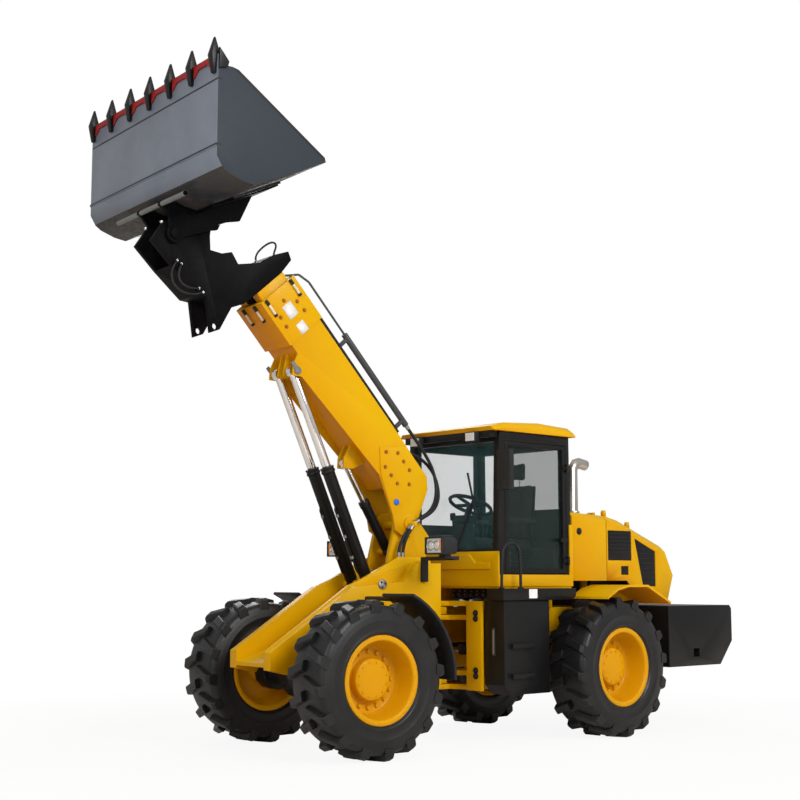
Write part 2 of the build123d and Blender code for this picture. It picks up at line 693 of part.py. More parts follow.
# wheels
def tyre(x, y):
    count = 2 * lugCount
    half = [(seatR, -184), (334, -184), (470, -210), (tyreR - 40, -190)]
    body = drum(half + [(r, -w) for r, w in half[::-1]], count)
    foot = [(-48, 8), (24, 8), (62, 204), (-4, 204)]
    lugs = []
    for k in range(count):
        side = 1 if k % 2 == 0 else -1
        base = make_face(Polyline(*[(a, side * b) for a, b in foot], close=True))
        bar = Pos(0, 0, tyreR - 65) * extrude(base, 65, taper=6)
        lugs.append(Rot(0, 360.0 * k / count, 0) * bar)
    return Pos(x, y, axleZ) * body.fuse(*lugs)


def rim(x, y):
    half = [(286, -190), (330, -188), (seatR, -184)]
    wheel = drum(half + [(r, -w) for r, w in half[::-1]], 2 * lugCount)
    disc = [(100, -20), (286.5, -20), (286.5, 0), (100, 0)]
    wheel = wheel + drum(disc, 2 * lugCount)
    wheel = wheel + lug(0, 0, 118, -180, -10, 10) + lug(0, 0, 158, -20, 60, 16)
    wheel = wheel + lug(0, 0, 140, 55, 75, 16)
    wheel = wheel - pin(0, 0, 60.06, -200, -40)
    if y < 0:
        wheel = mirror(wheel, about=Plane.XZ)
    return Pos(x, y, axleZ) * wheel


# cylinders
def barrel(a, b, offset, sizes, pinR, eyeHalf):
    start, bore, top, outerR, boreR, neckR = sizes
    d = (Vector(*b) - Vector(*a)).normalized()
    here = Vector(*a) + Vector(*offset)
    body = bar(here + d * start, here + d * top, outerR, 14)
    body = body + bar(here + d * (top - 50), here + d * top, outerR + 4, 14)
    body = body - bar(here + d * bore, here + d * (top + 5), boreR / math.cos(math.pi / 12), 12)
    body = body + bar(here, here + d * (start + 5), neckR, 8)
    eyeA, eyeB = eyeHalf
    body = body + bar(here + eyeA, here + eyeB, outerR - 4, 10)
    return body - rod(here + eyeA * 3, here + eyeB * 3, pinR + 0.06)


def ram(a, b, offset, length, radius, eyeR, eyeHalf):
    d = (Vector(*b) - Vector(*a)).normalized()
    tip = Vector(*b) + Vector(*offset)
    eyeA, eyeB = eyeHalf
    return rod(tip - d * length, tip, radius) + bar(tip + eyeA, tip + eyeB, eyeR, 10)


def across(half):
    return (Vector(0, -half, 0), Vector(0, half, 0))


def vertical(half):
    return (Vector(0, 0, -half), Vector(0, 0, half))


def space(point, boomSide=False):
    x, z = at(*point) if boomSide else point
    return (x, 0, z)


liftA, liftB = space(liftBase), space(liftEye, True)
compA, compB = space(compBase), space(compEye, True)
tiltA, tiltB = space(tiltBase, True), space(leverPoint, True)


def liftBarrels():
    sizes = (42, 85, 1015, 50, 36.3, 30)
    return [barrel(liftA, liftB, (0, y, 0), sizes, 35, across(35)) for y in (-108, 108)]


def liftRods():
    return [ram(liftA, liftB, (0, y, 0), 960, 36, 48, across(30)) for y in (-108, 108)]


def compBarrel():
    return barrel(compA, compB, (0, 0, 0), (30, 75, 475, 42, 26.3, 26), 30, across(28))


def compRod():
    return ram(compA, compB, (0, 0, 0), 440, 26, 42, across(25))


def tiltBarrel():
    return barrel(tiltA, tiltB, (0, 0, 0), (30, 75, 1000, 42, 25.3, 25), 25, across(35))


def tiltRod():
    return ram(tiltA, tiltB, (0, 0, 0), 700, 25, 40, across(35))


turn = math.radians(steerRest)


def steerEnds(side):
    fx, fy = steerFront[0], steerFront[1] * side
    b = (fx * math.cos(turn) - fy * math.sin(turn), fx * math.sin(turn) + fy * math.cos(turn), steerZ)
    return (steerRear[0], steerRear[1] * side, steerZ), b


def steerBarrel(side):
    a, b = steerEnds(side)
    return barrel(a, b, (0, 0, 0), (64, 80, 500, 40, 22.3, 15), 20, vertical(16))


def steerRod(side):
    a, b = steerEnds(side)
    return ram(a, b, (0, 0, 0), 530, 22, 38, vertical(15))


wheels = {"front_left": (axleX, wheelY), "front_right": (axleX, -wheelY)}
wheels.update({"rear_left": (-axleX, wheelY), "rear_right": (-axleX, -wheelY)})


def nodes():
    fixed = {
        "rear_chassis": rearChassis, "engine_block": engineBlock, "counterweight": counterweight,
        "engine_cowl": engineCowl, "exhaust_stack": exhaustStack, "rear_fenders": rearFenders,
        "side_tanks": sideTanks, "platforms": platforms, "cab_floor": cabFloor, "cab_frame": cabFrame,
        "cab_roof": cabRoof, "cab_glass": cabGlass, "operator_seat": operatorSeat,
        "steering_console": steeringConsole, "cab_lamps": cabLamps, "mirrors": mirrors, "hood": hood,
        "hood_grilles": hoodGrilles, "hood_slats": hoodSlats, "tail_lamps": tailLamps,
        "door_frame": doorFrame, "door_glass": doorGlass,
    }
    turned = {
        "front_chassis": frontChassis, "front_mudguards": frontMudguards,
        "headlamps": headlamps, "headlamp_lenses": headlampLenses,
        "boom_hoses": boomHoses, "tower_hoses": towerHoses, "neck_hoses": neckHoses,
        "outer_boom": outerBoom, "hose_tube": hoseTube, "inner_boom": innerBoom, "gooseneck": gooseneck,
        "hose_rod": hoseRod, "quick_hitch": quickHitch, "bucket": bucket, "cutting_edge": cuttingEdge,
        "bucket_teeth": bucketTeeth, "lift_barrels": liftBarrels, "lift_rods": liftRods,
        "comp_barrel": compBarrel, "comp_rod": compRod, "tilt_barrel": tiltBarrel, "tilt_rod": tiltRod,
    }
    made = {name: (make(), False) for name, make in fixed.items()}
    made["rear_axle"] = (axle(-axleX), False)
    made.update({name: (make(), True) for name, make in turned.items()})
    made["front_axle"] = (axle(axleX), True)
    for name, (x, y) in wheels.items():
        made["tyre_" + name] = (tyre(x, y), x > 0)
        made["rim_" + name] = (rim(x, y), x > 0)
    for name, side in (("left", 1), ("right", -1)):
        made["steer_barrel_" + name] = (steerBarrel(side), False)
        made["steer_rod_" + name] = (steerRod(side), False)
    return made


def main():
    os.makedirs("parts", exist_ok=True)
    for name, (shape, turnedToo) in nodes().items():
        solids = gather(shape if isinstance(shape, list) else [shape])
        if turnedToo:
            solids = solids.moved(Location((0, 0, 0), (0, 0, steerRest)))
        export_step(solids, "parts/" + name + ".step")


if __name__ == "__main__":
    main()
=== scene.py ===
import math
import bmesh
import bpy
from mathutils import Matrix, Vector
from mathutils.bvhtree import BVHTree


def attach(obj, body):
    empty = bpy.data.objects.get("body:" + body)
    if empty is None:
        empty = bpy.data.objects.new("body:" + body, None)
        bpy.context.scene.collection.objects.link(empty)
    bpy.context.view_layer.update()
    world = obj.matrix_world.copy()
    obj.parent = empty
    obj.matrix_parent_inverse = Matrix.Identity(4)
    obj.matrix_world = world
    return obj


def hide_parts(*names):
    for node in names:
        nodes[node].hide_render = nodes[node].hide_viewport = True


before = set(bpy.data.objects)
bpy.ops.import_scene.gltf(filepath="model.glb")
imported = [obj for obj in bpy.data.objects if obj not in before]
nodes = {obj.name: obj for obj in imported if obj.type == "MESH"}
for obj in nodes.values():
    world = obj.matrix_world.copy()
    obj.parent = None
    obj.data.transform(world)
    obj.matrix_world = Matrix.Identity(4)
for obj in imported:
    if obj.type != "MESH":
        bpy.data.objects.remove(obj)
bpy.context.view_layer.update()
print("frame loaded with", len(nodes), "nodes")


def placed(name, data):
    obj = bpy.data.objects.new(name, data)
    bpy.context.scene.collection.objects.link(obj)
    return obj


# camera at the photograph's place, fitted on the wheels and the boom
cameraSpot = {"place": (8.455, 8.834, 1.307), "yaw": 227.67, "pitch": 7.17, "lens": 64.74, "sensor": 36.0,
              "reach": 200.0}


def makeCamera(spot):
    data = bpy.data.cameras.new("camera")
    data.lens = spot["lens"]
    data.sensor_width = spot["sensor"]
    data.clip_end = spot["reach"]
    camera = placed("camera", data)
    yaw, pitch = math.radians(spot["yaw"]), math.radians(spot["pitch"])
    look = Vector((math.cos(yaw) * math.cos(pitch), math.sin(yaw) * math.cos(pitch), math.sin(pitch)))
    camera.rotation_mode = "QUATERNION"
    camera.rotation_quaternion = look.to_track_quat("-Z", "Y")
    camera.location = spot["place"]
    bpy.context.scene.camera = camera


makeCamera(cameraSpot)

# front half is stored turned to the right by this angle
turnDegrees = -6.0
frontTurn = Matrix.Rotation(math.radians(turnDegrees), 4, "Z")
boomPivot = Vector((0.423, 0.0, 1.77))
boomDegrees = 48.5
boomCos, boomSin = math.cos(math.radians(boomDegrees)), math.sin(math.radians(boomDegrees))
straight = Matrix.Identity(4)
# columns are along the boom, to the left and up from its top plate
boomFrame = frontTurn @ Matrix((
    (boomCos, 0.0, -boomSin, boomPivot.x),
    (0.0, 1.0, 0.0, 0.0),
    (boomSin, 0.0, boomCos, boomPivot.z),
    (0.0, 0.0, 0.0, 1.0)))


# shader maths as plain expressions
class Value:
    def __init__(self, finish, socket):
        self.finish = finish
        self.socket = socket

    def join(self, operation, a, b):
        made = self.finish.node("ShaderNodeMath", {"operation": operation}, {0: a, 1: b})
        return Value(self.finish, made.outputs[0])

    def __add__(self, other):
        return self.join("ADD", self, other)

    def __radd__(self, other):
        return self.join("ADD", other, self)

    def __sub__(self, other):
        return self.join("SUBTRACT", self, other)

    def __rsub__(self, other):
        return self.join("SUBTRACT", other, self)

    def __mul__(self, other):
        return self.join("MULTIPLY", self, other)

    def __pow__(self, other):
        return self.join("POWER", self, other)

    def above(self, limit):
        return self.join("GREATER_THAN", self, limit)

    def below(self, limit):
        return self.join("LESS_THAN", self, limit)


class Finish:
    def __init__(self, name, colour, roughness, metallic=0.0):
        self.material = bpy.data.materials.new(name)
        self.material.use_nodes = True
        self.tree = self.material.node_tree
        self.shader = self.tree.nodes["Principled BSDF"]
        self.set("Base Color", (*colour, 1.0))
        self.set("Roughness", roughness)
        self.set("Metallic", metallic)
        self.place = self.source("ShaderNodeTexCoord", "Object")

    def feed(self, socket, value):
        if isinstance(value, Value):
            self.tree.links.new(value.socket, socket)
        else:
            socket.default_value = value

    def set(self, name, value):
        self.feed(self.shader.inputs[name], value)

    def node(self, kind, settings=None, sockets=None):
        made = self.tree.nodes.new(kind)
        for key, value in (settings or {}).items():
            if key == "stops":
                for element, (position, level) in zip(made.color_ramp.elements, value):
                    element.position = position
                    element.color = (level, level, level, 1.0)
            else:
                setattr(made, key, value)
        for key, value in (sockets or {}).items():
            self.feed(made.inputs[key], value)
        return made

    def source(self, kind, output):
        return Value(self, self.node(kind).outputs[output])

    def noise(self, scale, detail=4.0, roughness=0.55):
        sockets = {"Vector": self.place, "Scale": scale, "Detail": detail, "Roughness": roughness}
        return Value(self, self.node("ShaderNodeTexNoise", None, sockets).outputs["Fac"])

    def ramp(self, value, low, high):
        stops = {"stops": ((low, 0.0), (high, 1.0))}
        return Value(self, self.node("ShaderNodeValToRGB", stops, {"Fac": value}).outputs["Color"])

    def mix(self, factor, a, b):
        made = self.node("ShaderNodeMix", {"data_type": "RGBA"})
        self.feed(made.inputs[0], factor)
        for index, value in ((6, a), (7, b)):
            self.feed(made.inputs[index], value if isinstance(value, Value) else (*value, 1.0))
        return Value(self, made.outputs[2])

    def part(self, source, name):
        return Value(self, self.node("ShaderNodeSeparateXYZ", None, {0: source}).outputs[name])

    def axis(self, name):
        return self.part(self.place, name)

    def facing(self, name):
        # the normal in the room's axes
        return self.part(self.source("ShaderNodeNewGeometry", "Normal"), name)

    def lean(self, name):
        # the normal in the piece's own axes, so that a posed piece keeps its look
        return self.part(self.source("ShaderNodeTexCoord", "Normal"), name)

    def bump(self, height, strength, distance):
        sockets = {"Strength": strength, "Distance": distance, "Height": height}
        made = self.node("ShaderNodeBump", None, sockets)
        self.set("Normal", Value(self, made.outputs["Normal"]))


def scaled(colour, share):
    return tuple(c * share for c in colour)


# paints: broad is the cloudy scale, fine the film's, peel the orange peel's, and dust the film's strength
dust = (0.30, 0.25, 0.19)


def paint(name, colour, roughness, settings):
    finish = Finish(name, colour, roughness)
    broad = finish.noise(settings["broad"], 5.0)
    fine = finish.noise(settings["fine"], 6.0, 0.65)
    darker = scaled(colour, settings["shade"])
    base = finish.mix(finish.ramp(broad, 0.35, 0.68), darker, colour)
    up = finish.ramp(finish.facing("Z"), 0.2, 1.0)
    film = finish.ramp(fine, 0.42, 0.72) * (settings["dust"] + up * settings["dustUp"])
    # painted shade: faces that look down, and in part those that look sideways, are mixed towards a darker,
    # deeper colour
    if "paintedShade" in settings:
        low = finish.ramp(finish.facing("Z") * 0.5 + 0.5, 0.1, 0.62)
        base = finish.mix(low, settings["paintedShade"], base)
    finish.set("Base Color", finish.mix(film, base, dust))
    finish.set("Specular IOR Level", settings["shine"])
    finish.set("Roughness", roughness + film * 0.45 + (fine - 0.5) * 0.12)
    finish.set("Coat Roughness", 0.12)
    finish.set("Coat Weight", settings["coat"] - film * settings["coat"])
    finish.bump(finish.noise(settings["peel"], 2.0), 0.06, 0.0008)
    return finish.material


# the yellow's deeper orange on faces that look down is painted shade
paintLook = {"broad": 1.3, "fine": 26.0, "peel": 240.0, "shade": 0.95, "dust": 0.0, "dustUp": 0.02,
             "coat": 0.05, "shine": 0.10, "paintedShade": (0.60, 0.20, 0.0)}
rimLook = {"broad": 1.8, "fine": 30.0, "peel": 240.0, "shade": 0.92, "dust": 0.02, "dustUp": 0.04,
           "coat": 0.05, "shine": 0.12}
blackLook = {"broad": 2.6, "fine": 34.0, "peel": 180.0, "shade": 0.85, "dust": 0.008, "dustUp": 0.02,
             "coat": 0.05, "shine": 0.22}
neckLook = {"broad": 3.5, "fine": 20.0, "peel": 120.0, "shade": 0.8, "dust": 0.010, "dustUp": 0.02,
            "coat": 0.0, "shine": 0.06}

# bucket paint: seams across the floor, a dark rim, painted shade that darkens the sides and the underside,
# and soil on the underside
slateLook = {
    "seams": ((4.336, 4.352), (4.812, 4.826)), "floorFace": 2.70, "lineTone": (0.010, 0.010, 0.011),
    "rim": ((1.833, 4.40), (2.569, 4.914)), "rimWidth": 0.022, "half": 1.03, "shade": 0.82, "shine": 0.35,
    "sideShade": (0.019, 0.026, 0.037),
    "backFoot": (2.42, 4.093), "backTop": (1.824, 4.366), "backSkin": 0.014, "shadeAndSoilTop": 4.19,
    "undersideShade": (0.012, 0.012, 0.013), "soilTone": (0.085, 0.058, 0.036)}


def slatePaint(name, colour, settings):
    finish = Finish(name, colour, 0.42)
    turn = math.radians(-turnDegrees)
    x, y, z = (finish.axis(letter) for letter in "XYZ")
    along = x * math.cos(turn) - y * math.sin(turn)
    side = x * math.sin(turn) + y * math.cos(turn)
    broad = finish.noise(2.2, 5.0)
    fine = finish.noise(22.0, 6.0, 0.65)
    base = finish.mix(finish.ramp(broad, 0.35, 0.68), scaled(colour, settings["shade"]), colour)
    # painted shade: faces that look to the sides are mixed towards a darker, bluer tone
    shadedSides = finish.ramp(finish.lean("Y") * finish.lean("Y"), 0.3, 0.8)
    base = finish.mix(shadedSides, base, settings["sideShade"])
    (ax, az), (bx, bz) = settings["rim"]
    size = math.hypot(bx - ax, bz - az)
    off = ((along - ax) * (bz - az) - (z - az) * (bx - ax)) * (1.0 / size)
    lines = off.below(settings["rimWidth"]) * (side * side).above(settings["half"] ** 2)
    for low, high in settings["seams"]:
        lines = lines + z.above(low) * z.below(high) * along.above(settings["floorFace"])
    base = finish.mix(lines, base, settings["lineTone"])
    (fx, fz), (tx, tz) = settings["backFoot"], settings["backTop"]
    slope = (tz - fz) / (tx - fx)
    back = (z - fz - (along - fx) * slope).below(settings["backSkin"]) * along.below(fx)
    # the underside and the outside of the back are darkened almost to black as painted shade, then given
    # brown soil, which is real dirt
    under = (back + z.below(settings["shadeAndSoilTop"])) * (1.0 - shadedSides)
    soil = under * finish.ramp(broad * 0.6 + fine * 0.4, 0.45, 0.60)
    base = finish.mix(under * 0.92, base, settings["undersideShade"])
    finish.set("Base Color", finish.mix(soil * 0.55, base, settings["soilTone"]))
    finish.set("Roughness", 0.40 + soil * 0.4 + shadedSides * 0.25 + (fine - 0.5) * 0.14)
    finish.set("Specular IOR Level", settings["shine"])
    finish.bump(fine, 0.05, 0.0012)
    return finish.material


tyreLook = {"clean": (0.0055, 0.0055, 0.006), "dusty": (0.10, 0.095, 0.09), "shine": 0.38}


def tyreRubber(name, settings):
    finish = Finish(name, settings["clean"], 0.5)
    broad = finish.noise(5.0, 6.0, 0.6)
    fine = finish.noise(55.0, 5.0, 0.7)
    film = finish.ramp(broad, 0.42, 0.75) * 0.07 + finish.ramp(fine, 0.5, 0.8) * 0.04
    finish.set("Base Color", finish.mix(film, settings["clean"], settings["dusty"]))
    finish.set("Roughness", 0.40 + film * 0.8)
    finish.set("Specular IOR Level", settings["shine"])
    finish.bump(fine, 0.25, 0.0025)
    return finish.material


def bareMetal(name, colour, roughness, streak):
    finish = Finish(name, colour, roughness, 1.0)
    grain = finish.noise(streak, 3.0)
    finish.set("Roughness", roughness + (grain - 0.5) * 0.05)
    darker = scaled(colour, 0.92)
    finish.set("Base Color", finish.mix(finish.ramp(grain, 0.3, 0.7), darker, colour))
    return finish.material


def plainPlastic(name, colour, roughness, grain):
    finish = Finish(name, colour, roughness)
    speck = finish.noise(grain, 4.0, 0.6)
    film = finish.ramp(speck, 0.45, 0.75)
    lighter = tuple(min(1.0, c * 1.6 + 0.012) for c in colour)
    finish.set("Base Color", finish.mix(film * 0.5, colour, lighter))
    finish.set("Roughness", roughness + film * 0.12)
    finish.set("Specular IOR Level", 0.3)
    finish.bump(finish.noise(grain * 6.0, 2.0), 0.12, 0.0006)
    return finish.material


def tintedGlass(name, colour, cover):
    finish = Finish(name, colour, 0.03)
    smear = finish.noise(3.0, 5.0, 0.6)
    finish.set("Roughness", 0.02 + finish.ramp(smear, 0.5, 0.85) * 0.05)
    finish.set("Alpha", cover + finish.ramp(smear, 0.55, 0.9) * 0.05)
    finish.set("IOR", 1.45)
    return finish.material


def lens(name, colour, glow):
    finish = Finish(name, colour, 0.12)
    ribs = finish.node("ShaderNodeTexWave", {"wave_type": "BANDS", "bands_direction": "Z"},
                       {"Vector": finish.place, "Scale": 28.0, "Distortion": 0.0})
    rib = Value(finish, ribs.outputs["Fac"])
    finish.set("Base Color", finish.mix(rib * 0.35, colour, scaled(colour, 0.6)))
    finish.set("Emission Color", finish.mix(rib, colour, colour))
    finish.set("Emission Strength", glow)
    finish.set("Coat Weight", 0.6)
    finish.bump(rib, 0.3, 0.002)
    return finish.material


clothLook = {"gap": (0.016, 0.016, 0.018), "thread": (0.055, 0.057, 0.062), "worn": (0.07, 0.068, 0.064),
             "weave": 420.0}


def seatCloth(name, settings):
    finish = Finish(name, settings["thread"], 0.9)
    weave = finish.node("ShaderNodeTexVoronoi", {"feature": "DISTANCE_TO_EDGE"},
                        {"Vector": finish.place, "Scale": settings["weave"]})
    thread = finish.ramp(Value(finish, weave.outputs["Distance"]), 0.0, 0.35)
    worn = finish.ramp(finish.noise(7.0, 4.0), 0.45, 0.75)
    base = finish.mix(thread, settings["gap"], settings["thread"])
    finish.set("Base Color", finish.mix(worn * 0.35, base, settings["worn"]))
    finish.bump(thread, 0.35, 0.001)
    return finish.material


look = {
    "yellow": paint("amberPaint", (0.65, 0.375, 0.0), 0.36, paintLook),
    # painted shade: the rims are painted a deeper orange than the body's yellow, standing for the warm shade
    # inside the dish
    "rim": paint("rimShadedPaint", (0.66, 0.31, 0.0), 0.36, rimLook),
    "black": paint("blackPaint", (0.006, 0.006, 0.0065), 0.42, blackLook),
    "neck": paint("dustyBlackPaint", (0.0025, 0.0025, 0.0035), 0.48, neckLook),
    "bucket": slatePaint("slatePaint", (0.185, 0.218, 0.275), slateLook),
    "red": paint("redPaint", (0.30, 0.012, 0.012), 0.45, blackLook),
    "grey": paint("greyPaint", (0.055, 0.058, 0.062), 0.4, blackLook),
    "tyre": tyreRubber("tyreRubber", tyreLook),
    "chrome": bareMetal("chromeRod", (0.88, 0.86, 0.83), 0.14, 7.0),
    "dull": bareMetal("stackMetal", (0.62, 0.58, 0.53), 0.30, 9.0),
    "steel": bareMetal("wornSteel", (0.36, 0.36, 0.34), 0.42, 40.0),
    "zinc": paint("zincPaint", (0.17, 0.18, 0.18), 0.45, blackLook),
    # painted shade: the boom's yellow-painted bolt heads are coloured a darker orange
    "bolt": paint("boltShadedPaint", (0.36, 0.115, 0.0), 0.45, blackLook),
    "brass": bareMetal("brassFitting", (0.70, 0.50, 0.22), 0.3, 60.0),
    "plastic": plainPlastic("blackPlastic", (0.010, 0.010, 0.011), 0.55, 30.0),
    "trim": plainPlastic("greyTrim", (0.050, 0.053, 0.055), 0.7, 40.0),
    "cream": plainPlastic("creamPlastic", (0.62, 0.55, 0.42), 0.5, 40.0),
    "blue": plainPlastic("bluePlastic", (0.01, 0.12, 0.60), 0.45, 40.0),
    "label": plainPlastic("whiteLabel", (0.72, 0.73, 0.74), 0.5, 20.0),
    "hose": plainPlastic("hoseRubber", (0.010, 0.010, 0.011), 0.55, 60.0),
    "glass": tintedGlass("cabGlass", (0.07, 0.21, 0.23), 0.12),
    # tinted door glass, made darker and more opaque than the windscreen as painted shade for the dim cab
    # inside
    "shaded door glass": tintedGlass("doorGlass", (0.012, 0.026, 0.023), 0.38),
    "lamp": lens("clearLens", (0.62, 0.62, 0.60), 0.10),
    "amber": lens("amberLens", (0.85, 0.26, 0.02), 0.08),
    "tail": lens("redLens", (0.55, 0.012, 0.012), 0.08),
    "cloth": seatCloth("seatCloth", clothLook),
    "iron": paint("castIron", (0.05, 0.05, 0.054), 0.6, blackLook),
}
nodeLook = {
    "yellow": ["rear_chassis", "engine_cowl", "rear_fenders", "cab_floor", "cab_roof", "hood",
               "front_chassis", "outer_boom", "inner_boom"],
    "black": ["rear_axle", "front_axle", "counterweight", "side_tanks", "cab_frame", "door_frame",
              "hood_grilles", "platforms", "lift_barrels", "comp_barrel", "tilt_barrel", "steer_barrel_left",
              "steer_barrel_right", "bucket_teeth"],
    "neck": ["gooseneck", "quick_hitch"],
    "bucket": ["bucket"],
    "red": ["cutting_edge"],
    "grey": ["hose_tube", "hose_rod"],
    "iron": ["engine_block"],
    "dull": ["exhaust_stack"],
    "chrome": ["lift_rods", "comp_rod", "tilt_rod", "steer_rod_left", "steer_rod_right"],
    "plastic": ["steering_console", "mirrors", "front_mudguards", "headlamps", "hood_slats", "cab_lamps"],
    "hose": ["boom_hoses", "tower_hoses", "neck_hoses"],
    "glass": ["cab_glass"],
    "shaded door glass": ["door_glass"],
    "lamp": ["headlamp_lenses"],
    "tail": ["tail_lamps"],
    "cloth": ["operator_seat"],
}
# columns are ahead or behind, and left or right
wheelSpots = {"front_left": (1, 1), "front_right": (1, -1), "rear_left": (-1, 1), "rear_right": (-1, -1)}
nodeLook["rim"] = ["rim_" + place for place in wheelSpots]
nodeLook["tyre"] = ["tyre_" + place for place in wheelSpots]


def painted(mesh, finish):
    mesh.materials.clear()
    mesh.materials.append(look[finish])
    return mesh


for key, names in nodeLook.items():
    for name in names:
        painted(nodes[name].data, key)
print("finishes set")

# rounded edges on the plate and box nodes
edgeRound = {"width": 0.004, "segments": 2, "angle": 35.0, "weld": 0.00002, "flat": 0.6}
sharpNodes = ["cab_glass", "door_glass"]


def shade(mesh, smooth=True):
    for face in mesh.polygons:
        face.use_smooth = smooth
    return mesh


def bevel(obj, width):
    edge = obj.modifiers.new("bevel", "BEVEL")
    edge.width = width
    edge.segments = edgeRound["segments"]
    edge.limit_method = "ANGLE"
    edge.angle_limit = math.radians(edgeRound["angle"])
    edge.harden_normals = True


def roundEdges(obj):
    weld = obj.modifiers.new("weld", "WELD")
    weld.merge_threshold = edgeRound["weld"]
    flat = obj.modifiers.new("flat", "DECIMATE")
    flat.decimate_type = "DISSOLVE"
    flat.angle_limit = math.radians(edgeRound["flat"])
    bevel(obj, edgeRound["width"])
    shade(obj.data)


for name, obj in nodes.items():
    if name not in sharpNodes:
        roundEdges(obj)
print("edges rounded")


# small makers shared by the pieces
def cleanMesh(vertices, faces, matrix=straight, smooth=True):
    mesh = bpy.data.meshes.new("shape")
    mesh.from_pydata([tuple(matrix @ Vector(v)) for v in vertices], [], faces)
    work = bmesh.new()
    work.from_mesh(mesh)
    bmesh.ops.remove_doubles(work, verts=work.verts, dist=0.00001)
    bmesh.ops.recalc_face_normals(work, faces=work.faces)
    work.to_mesh(mesh)
    work.free()
    return shade(mesh, smooth)


def evaluated(obj):
    graph = bpy.context.evaluated_depsgraph_get()
    mesh = bpy.data.meshes.new_from_object(obj.evaluated_get(graph))
    bpy.data.objects.remove(obj)
    return mesh


def rounded(mesh, width):
    obj = placed("soften", mesh)
    bevel(obj, width)
    return evaluated(obj)


def lathe(profile, steps, matrix=straight, closed=False):
    # profile holds radius and place along Y
    vertices = []
    faces = []
    count = len(profile)
    for k in range(steps):
        turn = 2.0 * math.pi * k / steps
        for radius, y in profile:
            vertices.append((radius * math.cos(turn), y, radius * math.sin(turn)))
    last = count if closed else count - 1
    for k in range(steps):
        here, there = k * count, ((k + 1) % steps) * count
        for i in range(last):
            j = (i + 1) % count
            faces.append((here + i, here + j, there + j, there + i))
    return cleanMesh(vertices, faces, matrix)


def slab(outline, low, high, matrix=straight, width=0.0):
    # outline in X and Z, thick along Y
    count = len(outline)
    vertices = [(x, low, z) for x, z in outline] + [(x, high, z) for x, z in outline]
    faces = [tuple(range(count)), tuple(range(2 * count - 1, count - 1, -1))]
    for i in range(count):
        j = (i + 1) % count
        faces.append((i, j, count + j, count + i))
    mesh = cleanMesh(vertices, faces, matrix)
    return rounded(mesh, width) if width else mesh


def brick(low, high, matrix=straight, width=0.0):
    outline = [(low[0], low[2]), (high[0], low[2]), (high[0], high[2]), (low[0], high[2])]
    return slab(outline, low[1], high[1], matrix, width)


def block(low, high, width, finish, matrix=straight, side=1):
    # a painted brick, mirrored to the right where side is -1
    near, far = sorted((side * low[1], side * high[1]))
    return painted(brick((low[0], near, low[2]), (high[0], far, high[2]), matrix, width), finish)


def tube(points, radius, matrix=straight, bends=True):
    curve = bpy.data.curves.new("path", "CURVE")
    curve.dimensions = "3D"
    curve.bevel_depth = radius
    curve.bevel_resolution = 2
    curve.use_fill_caps = True
    curve.resolution_u = 8
    spline = curve.splines.new("NURBS" if bends else "POLY")
    spline.points.add(len(points) - 1)
    for point, place in zip(spline.points, points):
        point.co = (*(matrix @ Vector(place)), 1.0)
    if bends:
        spline.order_u = 3
        spline.use_endpoint_u = True
    return shade(evaluated(placed("path", curve)))


def rod(points, radius, finish, matrix=straight):
    return painted(tube(points, radius, matrix, False), finish)


def turned(profile, place, normal, steps=20, closed=False):
    turn = Vector(normal).to_track_quat("Y", "Z").to_matrix().to_4x4()
    return lathe(profile, steps, Matrix.Translation(place) @ turn, closed)


def button(place, normal, radius, height, finish, matrix=straight):
    # a low turned cap that stands on a face
    profile = [(0.0, -0.002), (radius, -0.002), (radius, height * 0.7), (radius * 0.86, height),
               (0.0, height)]
    mesh = turned(profile, place, normal)
    mesh.transform(matrix)
    return painted(mesh, finish)


def joined(meshes):
    work = bmesh.new()
    slots = []
    for mesh in meshes:
        offset = len(slots)
        before = len(work.faces)
        work.from_mesh(mesh)
        work.faces.ensure_lookup_table()
        slots.extend(mesh.materials)
        for face in work.faces[before:]:
            face.material_index += offset
    mesh = bpy.data.meshes.new("shape")
    work.to_mesh(mesh)
    work.free()
    for material in slots:
        mesh.materials.append(material)
    return mesh


def keep(name, meshes, body):
    mesh = joined(meshes)
    mesh.name = name
    obj = placed(name, mesh)
    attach(obj, body)
    return obj


# one tree for everything that sits in rows: a shape copied to marked points
def makeRowTree():
    tree = bpy.data.node_groups.new("rowOfPieces", "GeometryNodeTree")
    sockets = (("Geometry", "INPUT", "Geometry"), ("Piece", "INPUT", "Object"),
               ("Finish", "INPUT", "Material"), ("Geometry", "OUTPUT", "Geometry"))
    for name, way, kind in sockets:
        tree.interface.new_socket(name, in_out=way, socket_type="NodeSocket" + kind)
    add = tree.nodes.new
    start, end = add("NodeGroupInput"), add("NodeGroupOutput")
    info = add("GeometryNodeObjectInfo")
    marks = {}
    for name in ("lean", "along"):
        marks[name] = add("GeometryNodeInputNamedAttribute")
        marks[name].data_type = "FLOAT_VECTOR"
        marks[name].inputs["Name"].default_value = name
    turnUp = add("FunctionNodeAlignRotationToVector")
    turnUp.axis = "Z"
    turnAlong = add("FunctionNodeAlignRotationToVector")
    turnAlong.axis = "X"
    turnAlong.pivot_axis = "Z"
    copies = add("GeometryNodeInstanceOnPoints")
    real = add("GeometryNodeRealizeInstances")
    cover = add("GeometryNodeSetMaterial")
    links = ((start, "Piece", info, "Object"), (marks["lean"], "Attribute", turnUp, "Vector"),
             (turnUp, "Rotation", turnAlong, "Rotation"), (marks["along"], "Attribute", turnAlong, "Vector"),
             (start, "Geometry", copies, "Points"), (info, "Geometry", copies, "Instance"),
             (turnAlong, "Rotation", copies, "Rotation"), (copies, "Instances", real, "Geometry"),
             (real, "Geometry", cover, "Geometry"), (start, "Finish", cover, "Material"),
             (cover, "Geometry", end, "Geometry"))
    for giver, output, taker, entry in links:
        tree.links.new(giver.outputs[output], taker.inputs[entry])
    return tree


rowTree = makeRowTree()


